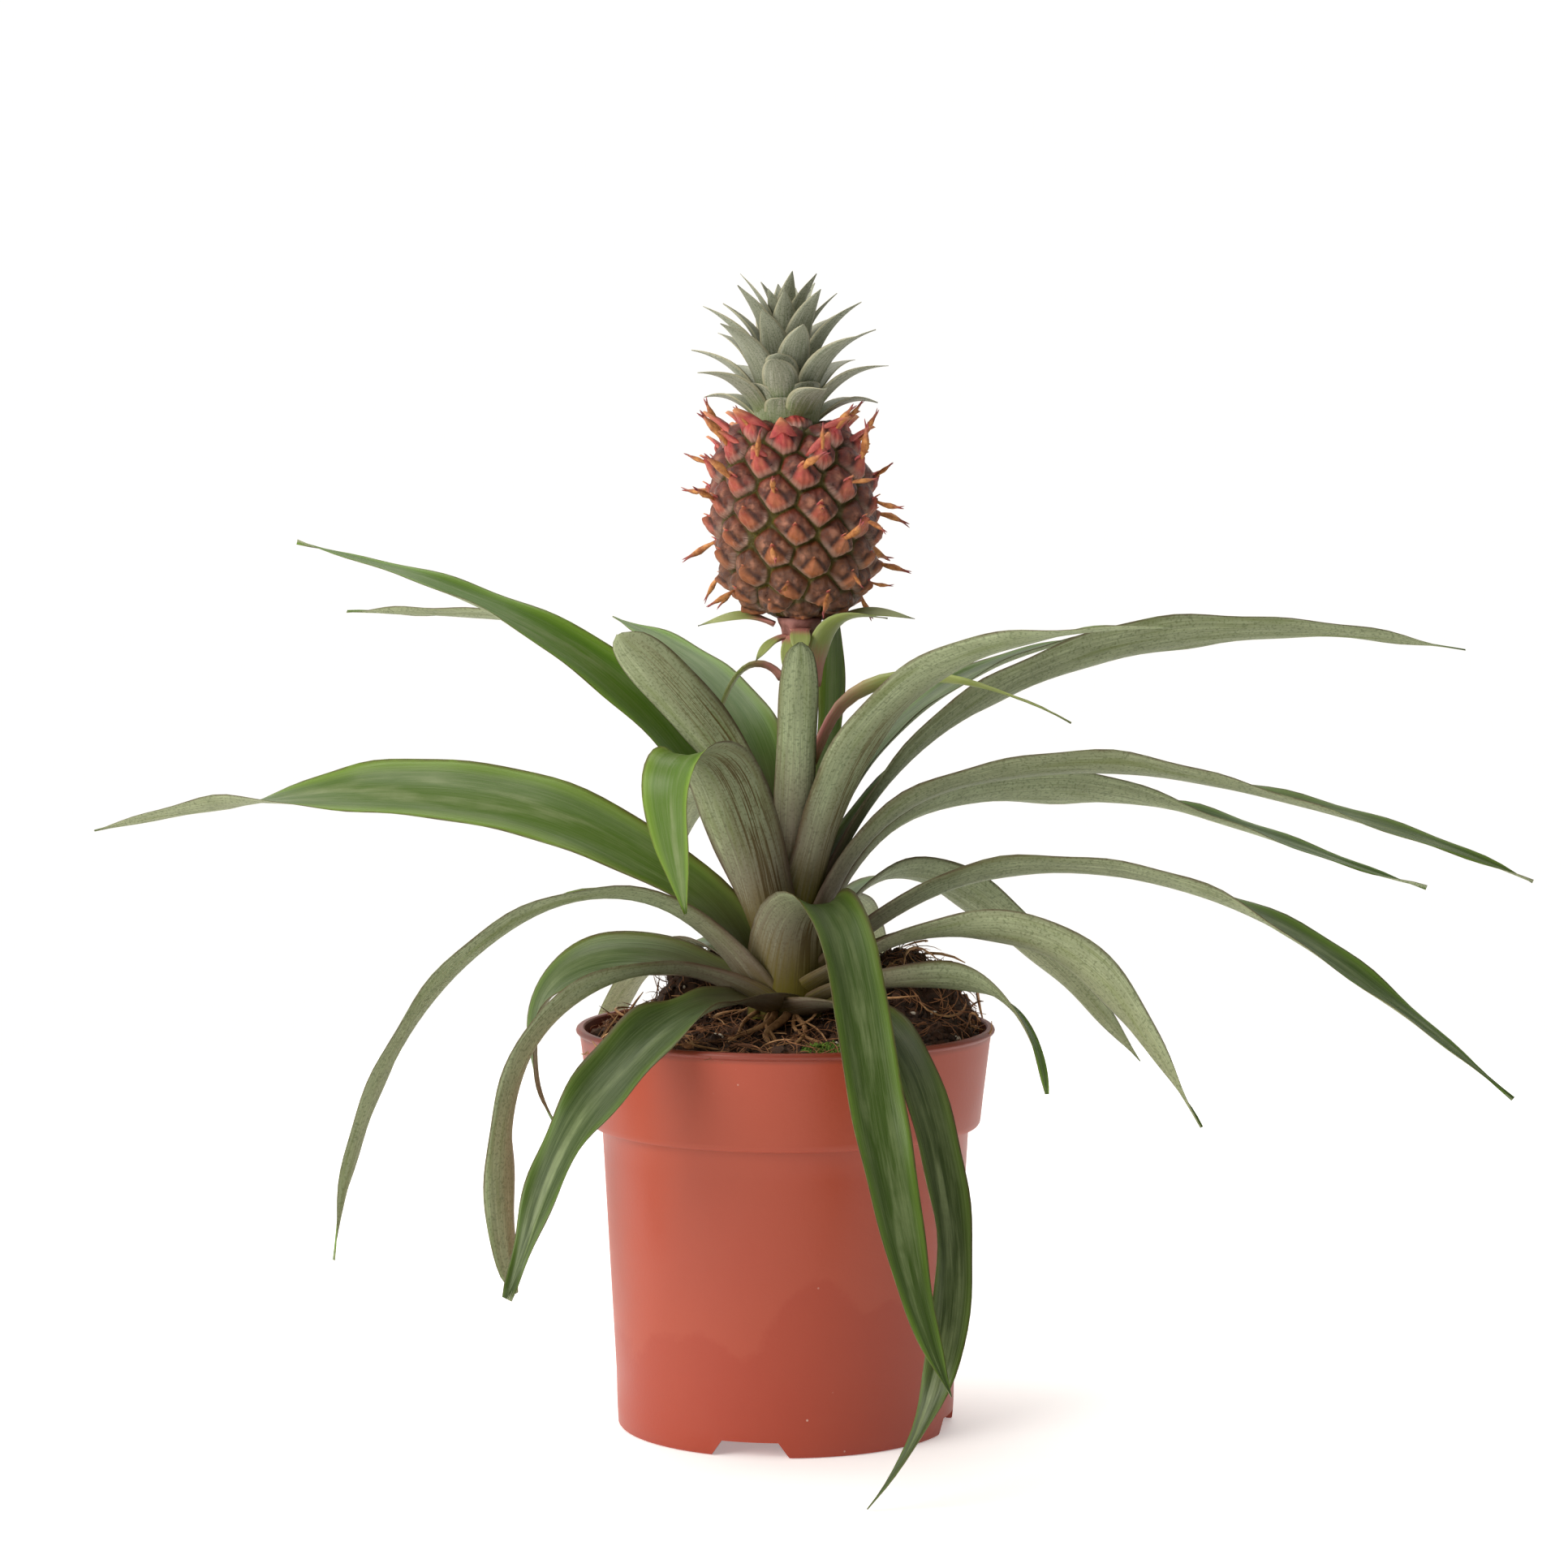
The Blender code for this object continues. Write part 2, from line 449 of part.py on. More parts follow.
def main():
    for obj in list(bpy.data.objects):
        bpy.data.objects.remove(obj)
    build_pot()
    build_soil()
    build_stem()
    for row in LEAVES:
        build_leaf(row, "leaf_green")
    for row in BRACTS:
        short = row[3] < 0.025
        build_leaf(row, "bract_tissue", count=6 if short else 9, root_width=0.0034, arc=60.0, thick=0.0008)
    build_fruit()
    build_crown()


main()
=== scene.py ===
"""Finished look of a potted ornamental pineapple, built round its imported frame.

A rosette of channelled leaves stands in a moulded nursery pot. A short stalk
rises from its middle and carries a small fruit with a leafy crown. Lengths are
metres in the frame's own axes, with +Z up, and angles are degrees.
"""

import json
import logging
import math
from dataclasses import dataclass
from enum import Enum
from typing import Any, Callable, Optional, Sequence

import bmesh
import bpy
import numpy as np
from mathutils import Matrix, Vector, noise

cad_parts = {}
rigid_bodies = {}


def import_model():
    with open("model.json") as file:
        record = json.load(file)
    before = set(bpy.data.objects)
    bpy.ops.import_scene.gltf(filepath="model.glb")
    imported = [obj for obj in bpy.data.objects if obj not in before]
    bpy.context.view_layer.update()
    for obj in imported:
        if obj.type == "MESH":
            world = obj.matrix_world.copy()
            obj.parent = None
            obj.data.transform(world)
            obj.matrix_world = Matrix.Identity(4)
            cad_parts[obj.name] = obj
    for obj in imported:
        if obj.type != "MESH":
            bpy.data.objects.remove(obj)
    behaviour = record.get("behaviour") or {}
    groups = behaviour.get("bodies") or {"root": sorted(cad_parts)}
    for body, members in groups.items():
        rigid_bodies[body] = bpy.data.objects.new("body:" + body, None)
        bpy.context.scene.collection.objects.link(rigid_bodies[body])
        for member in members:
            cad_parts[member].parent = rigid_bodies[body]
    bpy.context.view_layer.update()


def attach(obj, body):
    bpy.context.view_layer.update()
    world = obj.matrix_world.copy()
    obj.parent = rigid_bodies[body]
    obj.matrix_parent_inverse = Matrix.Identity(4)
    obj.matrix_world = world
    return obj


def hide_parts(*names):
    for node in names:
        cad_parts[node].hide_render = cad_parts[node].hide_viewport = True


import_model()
LOG = logging.getLogger("pineapple")
BODY = "root"
GOLDEN = 137.508  # degrees between one leaf or eye and the next round a shoot
FULL_TURN = 6.283  # radians


class Slot(str, Enum):
    """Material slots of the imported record."""

    POT = "pot"
    SOIL = "soil"
    STEM = "stem"
    LEAF = "leaf"
    BRACT = "bract"
    FRUIT = "fruit"
    CROWN = "crown"


# ---- colour, nodes and meshes ----------------------------------------------------------------
def linear(code: str, alpha: float = 1.0) -> tuple[float, float, float, float]:
    """Turns an sRGB hex colour into linear light.

    Args:
        code: Colour such as "#A9533A".
        alpha: Opacity.

    Returns:
        Linear red, green, blue and alpha.
    """
    parts = [int(code[i:i + 2], 16) / 255 for i in (1, 3, 5)]
    lin = [p / 12.92 if p <= 0.04045 else ((p + 0.055) / 1.055) ** 2.4 for p in parts]
    return (lin[0], lin[1], lin[2], alpha)


def add(tree: bpy.types.NodeTree, kind: str, links: Optional[dict[Any, Any]] = None,
        stops: Sequence[tuple[float, str]] = (), **settings: Any) -> bpy.types.Node:
    """Adds one node with its settings, values and links.

    Args:
        tree: Tree that gets the node.
        kind: Node type.
        links: Input socket name or number to a value or to another node's output.
        stops: Places and hex colours, for a colour ramp.
        **settings: Properties of the node.

    Returns:
        The new node.
    """
    node = tree.nodes.new(kind)
    for key, value in settings.items():
        setattr(node, key, value)
    if stops:
        ramp = node.color_ramp
        ramp.elements.remove(ramp.elements[1])
        ramp.elements[0].position, ramp.elements[0].color = stops[0][0], linear(stops[0][1])
        for place, code in stops[1:]:
            ramp.elements.new(place).color = linear(code)
    for key, value in (links or {}).items():
        socket = node.inputs[key]
        if isinstance(value, bpy.types.NodeSocket):
            tree.links.new(value, socket)
        else:
            socket.default_value = value
    return node


def mesh_object(name: str, verts: np.ndarray, faces: Sequence[Sequence[int]], material: bpy.types.Material,
                marks: Optional[dict[str, np.ndarray]] = None, smooth: bool = True) -> bpy.types.Object:
    """Makes a mesh object at the origin.

    Args:
        name: Object name.
        verts: Points, one row each.
        faces: Corner numbers of each face.
        material: Finish of every face.
        marks: Named point attributes, three numbers a point.
        smooth: Shades the faces smooth.

    Returns:
        The object, linked to the scene.
    """
    mesh = bpy.data.meshes.new(name)
    mesh.from_pydata(np.asarray(verts, float).tolist(), [], [list(map(int, f)) for f in faces])
    mesh.materials.append(material)
    mesh.polygons.foreach_set("use_smooth", [smooth] * len(mesh.polygons))
    for key, values in (marks or {}).items():
        layer = mesh.attributes.new(key, "FLOAT_VECTOR", "POINT")
        layer.data.foreach_set("vector", np.asarray(values, np.float32).ravel())
    mesh.update()
    obj = bpy.data.objects.new(name, mesh)
    bpy.context.scene.collection.objects.link(obj)
    return obj


def face_outwards(mesh: bpy.types.Mesh) -> None:
    """Turns the normals of a closed mesh outwards.

    Args:
        mesh: Mesh that is changed.
    """
    bm = bmesh.new()
    bm.from_mesh(mesh)
    bmesh.ops.recalc_face_normals(bm, faces=bm.faces)
    bm.to_mesh(mesh)
    bm.free()


def cut_from(mesh: bpy.types.Mesh, name: str, keep: Callable[[Vector], bool]) -> bpy.types.Object:
    """Copies the faces of a mesh whose middles pass a test.

    Args:
        mesh: Where they come from.
        name: Name of the copy.
        keep: Says for the middle of a face whether it is kept.

    Returns:
        The copy, not linked to the scene.
    """
    bm = bmesh.new()
    bm.from_mesh(mesh)
    bmesh.ops.delete(bm, geom=[f for f in bm.faces if not keep(f.calc_center_median())], context="FACES")
    part = bpy.data.meshes.new(name)
    bm.to_mesh(part)
    bm.free()
    return bpy.data.objects.new(name, part)


def place(obj: bpy.types.Object, slot: Slot, *nodes: str) -> None:
    """Hands a finished piece to the frame.

    Args:
        obj: The piece.
        slot: Material slot; not used.
        *nodes: CAD nodes that it stands for.
    """
    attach(obj, BODY)
    if nodes:
        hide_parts(*nodes)
    LOG.info("%s: %d faces", obj.name, len(obj.data.polygons))


def baked(obj: bpy.types.Object, name: str) -> bpy.types.Object:
    """Turns an object with modifiers into a plain mesh piece.

    Args:
        obj: Object whose modifiers are applied; it is removed.
        name: Name of the plain piece.

    Returns:
        The plain piece.
    """
    graph = bpy.context.evaluated_depsgraph_get()
    mesh = bpy.data.meshes.new_from_object(obj.evaluated_get(graph), depsgraph=graph)
    mesh.name = name
    bpy.data.objects.remove(obj)
    piece = bpy.data.objects.new(name, mesh)
    bpy.context.scene.collection.objects.link(piece)
    return piece


def geometry_tree(name: str, inputs: dict[str, str]) -> tuple[bpy.types.NodeTree, Any]:
    """Starts a geometry node tree whose output is a set of pieces.

    Args:
        name: Name of the tree.
        inputs: Label of each input to its kind.

    Returns:
        The tree and its inputs.
    """
    tree = bpy.data.node_groups.new(name, "GeometryNodeTree")
    for label, kind in inputs.items():
        tree.interface.new_socket(name=label, in_out="INPUT", socket_type="NodeSocket" + kind)
    tree.interface.new_socket(name="Pieces", in_out="OUTPUT", socket_type="NodeSocketGeometry")
    return tree, add(tree, "NodeGroupInput").outputs


def run_tree(tree: bpy.types.NodeTree, laid: bpy.types.NodeSocket, holder: bpy.types.Object,
             material: bpy.types.Material, values: dict[str, Any]) -> bpy.types.Object:
    """Ends a tree from geometry_tree and runs it.

    Args:
        tree: The tree.
        laid: Its instances.
        holder: Object that it runs on; it is removed.
        material: Finish of the pieces.
        values: Label of an input to its value.

    Returns:
        One plain mesh of all the pieces.
    """
    real = add(tree, "GeometryNodeRealizeInstances", {0: laid})
    done = add(tree, "GeometryNodeSetMaterial", {"Geometry": real.outputs[0], "Material": material})
    add(tree, "NodeGroupOutput", {0: done.outputs[0]})
    mod = holder.modifiers.new("lay", "NODES")
    mod.node_group = tree
    for item in tree.interface.items_tree:
        if item.in_out == "INPUT" and item.name in values:
            mod[item.identifier] = values[item.name]
    return baked(holder, holder.name)


def knots(values: Sequence[float], s: float) -> float:
    """Smooth value at fraction s along evenly spaced knots.

    Args:
        values: The knots.
        s: Fraction from 0 to 1.

    Returns:
        The Catmull-Rom value there.
    """
    v = np.asarray(values, float)
    n = len(v) - 1
    x = min(max(s, 0.0), 1.0) * n
    i = min(int(x), n - 1)
    t = x - i
    p0, p1, p2, p3 = v[max(i - 1, 0)], v[i], v[i + 1], v[min(i + 2, n)]
    return 0.5 * (2 * p1 + (p2 - p0) * t + (2 * p0 - 5 * p1 + 4 * p2 - p3) * t * t
                  + (3 * p1 - p0 - 3 * p2 + p3) * t ** 3)


def smooth(x: float, low: float = 0.0, high: float = 1.0) -> float:
    """Smoothstep of x between low and high."""
    t = min(max((x - low) / (high - low), 0.0), 1.0)
    return t * t * (3 - 2 * t)


def axis_x(z: float) -> float:
    """Sideways place of the shoot's middle: it leans right to the fruit, then back left."""
    return float(np.interp(z, (0.120, 0.165, 0.205, 0.228, 0.260, 0.290, 0.330),
                           (0.0, 0.0010, 0.0040, 0.0042, 0.0024, 0.0002, -0.0020)))


def ring_skin(rings: Sequence[np.ndarray], cap_low: bool = True, cap_top: bool = True
              ) -> tuple[np.ndarray, list[tuple[int, ...]]]:
    """Skins rings of equal count that run upwards and counter-clockwise.

    Args:
        rings: Point rings.
        cap_low: Closes the first ring.
        cap_top: Closes the last ring.

    Returns:
        Points and faces.
    """
    n = len(rings[0])
    verts = np.concatenate([np.asarray(r, float) for r in rings])
    faces: list[tuple[int, ...]] = []
    for i in range(len(rings) - 1):
        for j in range(n):
            k = (j + 1) % n
            faces.append((i * n + j, i * n + k, (i + 1) * n + k, (i + 1) * n + j))
    if cap_low:
        verts = np.vstack([verts, np.mean(rings[0], axis=0)])
        faces += [(len(verts) - 1, (j + 1) % n, j) for j in range(n)]
    if cap_top:
        verts = np.vstack([verts, np.mean(rings[-1], axis=0)])
        last = (len(rings) - 1) * n
        faces += [(len(verts) - 1, last + j, last + (j + 1) % n) for j in range(n)]
    return verts, faces


def turns(count: int) -> np.ndarray:
    """Angles in radians, evenly spaced round a full turn."""
    return np.linspace(0, 2 * math.pi, count, endpoint=False)


def circle(radius: float, z: float, count: int, x: float = 0.0) -> np.ndarray:
    """Ring of points round the Z axis, moved sideways by x."""
    a = turns(count)
    return np.stack([x + radius * np.cos(a), radius * np.sin(a), np.full(count, z)], 1)


# ---- finishes --------------------------------------------------------------------------------
@dataclass(frozen=True)
class Finish:
    """What every finish shares: its name, an empty tree with a shader, and ways to lay a pattern."""

    name: str

    @staticmethod
    def marks(tree: bpy.types.NodeTree, *names: str) -> list[Any]:
        """Reads point attributes.

        Args:
            tree: Tree that gets the nodes.
            *names: Names of the attributes.

        Returns:
            For each, its three numbers.
        """
        read = [add(tree, "ShaderNodeAttribute", attribute_name=name).outputs["Vector"] for name in names]
        return [add(tree, "ShaderNodeSeparateXYZ", {0: value}).outputs for value in read]

    def start(self) -> tuple[bpy.types.Material, bpy.types.NodeTree, bpy.types.Node, bpy.types.NodeSocket]:
        """Makes the material.

        Returns:
            Material, its tree, its Principled shader and Object coordinates.
        """
        mat = bpy.data.materials.new(self.name)
        mat.use_nodes = True
        tree = mat.node_tree
        tree.nodes.clear()
        shader = add(tree, "ShaderNodeBsdfPrincipled")
        add(tree, "ShaderNodeOutputMaterial", {"Surface": shader.outputs[0]})
        coords = add(tree, "ShaderNodeTexCoord").outputs["Object"]
        return mat, tree, shader, coords

    @staticmethod
    def layered(tree: bpy.types.NodeTree, ground: Any, layers: Sequence[tuple[str, Any]]) -> bpy.types.NodeSocket:
        """Lays colours over a ground, one after another.

        Args:
            tree: Tree that gets the nodes.
            ground: Colour at the bottom.
            layers: For each, its hex colour and spans (value, from, to, low, high), multiplied together.

        Returns:
            The colour on top.
        """
        tone = ground
        for code, spans in layers:
            amount = None
            for value, a, b, low, high in spans:
                part = add(tree, "ShaderNodeMapRange", {0: value, 1: a, 2: b, 3: low, 4: high}).outputs[0]
                if amount is not None:
                    part = add(tree, "ShaderNodeMath", {0: amount, 1: part}, operation="MULTIPLY").outputs[0]
                amount = part
            tone = add(tree, "ShaderNodeMix", {0: amount, 6: tone, 7: linear(code)}, data_type="RGBA").outputs[2]
        return tone

    @staticmethod
    def stretched(tree: bpy.types.NodeTree, where: Sequence[Any], factors: Sequence[float], scale: float,
                  detail: float, rough: float = 0.5) -> bpy.types.NodeSocket:
        """Draws noise out along a blade, so that it reads as veins or smears.

        Args:
            tree: Tree that gets the nodes.
            where: Place across, place along and the blade's own number.
            factors: How much each of them counts.
            scale: Scale of the noise.
            detail: Its octaves.
            rough: How strong the small ones are.

        Returns:
            The noise.
        """
        parts = [add(tree, "ShaderNodeMath", {0: value, 1: factor}, operation="MULTIPLY").outputs[0]
                 for value, factor in zip(where, factors)]
        at = add(tree, "ShaderNodeCombineXYZ", dict(enumerate(parts))).outputs[0]
        return add(tree, "ShaderNodeTexNoise", {
            "Vector": at, "Scale": scale, "Detail": detail, "Roughness": rough}).outputs[0]

    @staticmethod
    def close(tree: bpy.types.NodeTree, shader: bpy.types.Node, tone: bpy.types.NodeSocket,
              height: bpy.types.NodeSocket, strength: float, depth: float) -> None:
        """Sends colour and relief to the shader.

        Args:
            tree: The material's tree.
            shader: Its shader.
            tone: Colour.
            height: Height pattern.
            strength: How much of the relief shows.
            depth: Depth of the relief in metres.
        """
        tree.links.new(tone, shader.inputs["Base Color"])
        bump = add(tree, "ShaderNodeBump", {"Height": height, "Strength": strength, "Distance": depth})
        tree.links.new(bump.outputs[0], shader.inputs["Normal"])


@dataclass(frozen=True)
class TerracottaPolypropylene(Finish):
    """Injection-moulded polypropylene in terracotta.

    It gives the eye a satin, slightly waxy orange-red, a darker damp band low down and painted shade on the lip.
    """

    base: str = "#993A1F"
    damp: str = "#943114"
    dust: str = "#A75B41"
    lip_shade: str = "#5E2214"
    speck: str = "#B99486"

    def build(self) -> bpy.types.Material:
        """Builds the material: soft mottling, a wavy damp mark, dry specks and a fine moulded grain.

        Returns:
            The material.
        """
        mat, tree, shader, at = self.start()
        cloud = add(tree, "ShaderNodeTexNoise", {"Vector": at, "Scale": 22.0, "Detail": 3.0}).outputs[0]
        edge = add(tree, "ShaderNodeTexNoise", {"Vector": at, "Scale": 17.0, "Detail": 6.0, "Roughness": 0.55})
        height = add(tree, "ShaderNodeSeparateXYZ", {0: at}).outputs[2]
        line = add(tree, "ShaderNodeMath", {0: edge.outputs[0], 1: 0.150, 2: -0.036}, operation="MULTIPLY_ADD")
        below = add(tree, "ShaderNodeMath", {0: line.outputs[0], 1: height}, operation="SUBTRACT").outputs[0]
        cells = add(tree, "ShaderNodeTexVoronoi", {"Vector": at, "Scale": 260.0, "Randomness": 1.0})
        gate = add(tree, "ShaderNodeTexNoise", {"Vector": at, "Scale": 60.0}).outputs[0]
        tone = self.layered(tree, linear(self.base), (
            (self.damp, ((below, -0.0020, 0.0030, 0.0, 1.0),)),
            (self.dust, ((cloud, 0.35, 0.65, 0.0, 0.10),)),
            # painted shade: the top of the lip is darkened as though it lay in shadow
            (self.lip_shade, ((height, 0.1112, 0.1128, 0.0, 0.62),)),
            (self.speck, ((cells.outputs["Distance"], 0.10, 0.06, 0.0, 1.0), (gate, 0.62, 0.66, 0.0, 1.0))),
        ))
        rough = add(tree, "ShaderNodeMapRange", {0: cloud, 1: 0.3, 2: 0.7, 3: 0.40, 4: 0.52})
        tree.links.new(rough.outputs[0], shader.inputs["Roughness"])
        shader.inputs["IOR"].default_value = 1.49
        shader.inputs["Subsurface Weight"].default_value = 0.06
        shader.inputs["Subsurface Radius"].default_value = (0.003, 0.0012, 0.0006)
        grain = add(tree, "ShaderNodeTexNoise", {"Vector": at, "Scale": 900.0, "Detail": 2.0})
        self.close(tree, shader, tone, grain.outputs[0], 0.10, 0.0003)
        return mat


@dataclass(frozen=True)
class LeafTissue(Finish):
    """Living pineapple leaf: glossy green cuticle above, pale water-storing scurf below.

    The two faces, the pale margins and the purple root come from the "blade" attribute,
    which holds the place across, the way along in metres, and which face it is. "tint"
    holds how bright the leaf is, a number of its own, and how strong its brown stripe is.
    """

    dark: str = "#27350F"
    bright: str = "#4A6E14"
    sheen: str = "#77855A"
    margin: str = "#6C8E2C"
    scurf: str = "#9EA883"
    scurf_dark: str = "#777F5E"
    scurf_dots: str = "#4C5636"
    rubbed: str = "#67733F"
    stripe: str = "#48380E"
    root: str = "#7C625E"
    sheath: str = "#665E12"
    rim: str = "#4A3622"

    def build(self) -> bpy.types.Material:
        """Builds the material.

        Returns:
            The material.
        """
        mat, tree, shader, at = self.start()
        blade, tint = self.marks(tree, "blade", "tint")
        across, along, face = blade
        bright, own, brown = tint
        # the veins are about 0.5 mm apart
        vein = self.stretched(tree, (across, along, own), (9.0, 14.0, 37.0), 2.6, 4.0, 0.6)
        smear = self.stretched(tree, (across, along, own), (1.4, 16.0, 91.0), 2.0, 3.0, 0.6)
        cloud = add(tree, "ShaderNodeTexNoise", {"Vector": at, "Scale": 130.0, "Detail": 4.0,
                                                 "Roughness": 0.6}).outputs[0]
        dots = add(tree, "ShaderNodeTexNoise", {"Vector": at, "Scale": 1300.0, "Detail": 1.0}).outputs[0]
        out = add(tree, "ShaderNodeMath", {0: across}, operation="ABSOLUTE").outputs[0]
        keel = add(tree, "ShaderNodeMath", {0: across, 1: 0.36}, operation="SUBTRACT").outputs[0]
        keel = add(tree, "ShaderNodeMath", {0: keel}, operation="ABSOLUTE").outputs[0]
        wander = add(tree, "ShaderNodeMath", {0: vein, 1: 0.030, 2: along}, operation="MULTIPLY_ADD").outputs[0]
        clasp = add(tree, "ShaderNodeMath", {0: brown, 1: -0.012, 2: wander}, operation="MULTIPLY_ADD").outputs[0]
        upper = self.layered(tree, linear(self.dark), (
            (self.bright, ((bright, 0.0, 1.0, 0.0, 1.0),)),
            (self.sheen, ((vein, 0.44, 0.72, 0.0, 0.30),)),
            (self.sheen, ((smear, 0.44, 0.66, 0.0, 0.80), (out, 0.80, 0.15, 0.10, 1.0), (cloud, 0.3, 0.6, 0.5, 1.0),
                          (along, 0.030, 0.110, 0.25, 1.0))),
            (self.margin, ((out, 0.58, 0.95, 0.0, 0.9), (bright, 0.0, 0.8, 0.22, 1.0))),
        ))
        lower = self.layered(tree, linear(self.scurf_dark), (
            (self.scurf, ((vein, 0.34, 0.66, 0.0, 1.0),)),
            (self.scurf_dark, ((cloud, 0.36, 0.64, 0.45, 0.0),)),
            (self.scurf_dots, ((dots, 0.52, 0.68, 0.0, 0.5),)),
            (self.rubbed, ((smear, 0.52, 0.70, 0.0, 0.6),)),
        ))
        both = add(tree, "ShaderNodeMix", {0: face, 6: lower, 7: upper}, data_type="RGBA").outputs[2]
        tone = self.layered(tree, both, (
            # dry brown lines along the margins, then purple-brown towards the root
            (self.stripe, ((out, 0.70, 0.97, 0.0, 0.75), (along, 0.090, 0.030, 0.0, 1.0),
                           (smear, 0.40, 0.56, 0.0, 1.0))),
            (self.root, ((wander, 0.056, 0.020, 0.0, 0.76), (face, 1.0, 0.0, 0.45, 1.0))),
            # the older leaves show olive-brown stripes to one side of the keel, low on the blade
            (self.stripe, ((keel, 0.75, 0.25, 0.0, 0.9), (along, 0.100, 0.055, 0.0, 1.0), (vein, 0.46, 0.56, 0.0, 1.0),
                           (brown, 0.5, 1.0, 0.0, 1.0), (face, 0.9, 0.1, 0.0, 1.0))),
            # olive-yellow where the leaf clasps the shoot, and a thin dry edge
            (self.sheath, ((clasp, 0.024, 0.006, 0.0, 0.92),)),
            (self.rim, ((out, 0.90, 0.99, 0.0, 0.75), (cloud, 0.35, 0.55, 0.35, 1.0))),
        ))
        hue = add(tree, "ShaderNodeMapRange", {0: own, 3: 0.490, 4: 0.506})
        value = add(tree, "ShaderNodeMapRange", {0: own, 3: 0.90, 4: 1.14})
        tone = add(tree, "ShaderNodeHueSaturation", {"Hue": hue.outputs[0], "Value": value.outputs[0], "Color": tone})
        rough = add(tree, "ShaderNodeMapRange", {0: face, 3: 0.66, 4: 0.40})
        tree.links.new(rough.outputs[0], shader.inputs["Roughness"])
        shader.inputs["IOR"].default_value = 1.40
        shader.inputs["Specular IOR Level"].default_value = 0.40
        self.close(tree, shader, tone.outputs[0], vein, 0.22, 0.0004)
        return mat


@dataclass(frozen=True)
class BractTissue(Finish):
    """Thin bract on the stalk.

    It gives the eye a fleshy pink root that turns yellow-green and ends in a dark dry tip. It reads
    "blade" and "tint" as a leaf does, with the bract's length in place of the strength of a stripe.
    """

    root: str = "#B8736C"
    middle: str = "#8C9A4E"
    tip: str = "#4C5A2E"
    chaff: str = "#A3A07C"

    def build(self) -> bpy.types.Material:
        """Builds the material.

        Returns:
            The material.
        """
        mat, tree, shader, _ = self.start()
        blade, tint = self.marks(tree, "blade", "tint")
        vein = self.stretched(tree, (blade[0], blade[1], tint[1]), (6.0, 60.0, 1.0), 2.0, 3.0)
        way = add(tree, "ShaderNodeMath", {0: blade[1], 1: tint[2]}, operation="DIVIDE")
        shift = add(tree, "ShaderNodeMath", {0: vein, 1: 0.18, 2: -0.09}, operation="MULTIPLY_ADD")
        way = add(tree, "ShaderNodeMath", {0: way.outputs[0], 1: shift.outputs[0]}, operation="ADD")
        tone = add(tree, "ShaderNodeValToRGB", {0: way.outputs[0]}, stops=(
            (0.0, self.root), (0.16, self.root), (0.38, self.middle), (0.80, self.middle), (1.0, self.tip)))
        tone = self.layered(tree, tone.outputs[0], ((self.chaff, ((vein, 0.4, 0.7, 0.0, 0.45),)),))
        shader.inputs["Roughness"].default_value = 0.5
        self.close(tree, shader, tone, vein, 0.3, 0.0003)
        return mat


@dataclass(frozen=True)
class CrownTissue(Finish):
    """Young crown leaf.

    It gives the eye a stiff, matt grey-green with fine scurf, greener where it sits on the fruit.
    """

    grey: str = "#A8AA98"
    deep: str = "#757B62"
    dots: str = "#3F4A30"
    green: str = "#6A8430"
    edge: str = "#B5AE8C"

    def build(self) -> bpy.types.Material:
        """Builds the material.

        Returns:
            The material.
        """
        mat, tree, shader, at = self.start()
        blade, tint = self.marks(tree, "blade", "tint")
        across, along = blade[0], blade[1]
        vein = self.stretched(tree, (across, along, tint[1]), (7.0, 50.0, 50.0), 2.4, 4.0)
        # scurf scales of about 0.5 mm
        scales = add(tree, "ShaderNodeTexNoise", {"Vector": at, "Scale": 2200.0, "Detail": 1.0}).outputs[0]
        wobble = add(tree, "ShaderNodeMath", {0: vein, 1: 0.010, 2: along}, operation="MULTIPLY_ADD").outputs[0]
        out = add(tree, "ShaderNodeMath", {0: across}, operation="ABSOLUTE").outputs[0]
        tone = self.layered(tree, linear(self.deep), (
            (self.grey, ((vein, 0.28, 0.74, 0.0, 1.0),)),
            (self.dots, ((scales, 0.52, 0.66, 0.0, 0.45),)),
            (self.green, ((wobble, 0.0140, 0.0050, 0.0, 0.70), (tint[0], 0.0, 1.0, 0.0, 1.0))),
            (self.edge, ((out, 0.80, 0.98, 0.0, 0.6),)),
        ))
        shader.inputs["Roughness"].default_value = 0.58
        self.close(tree, shader, tone, vein, 0.15, 0.0003)
        return mat


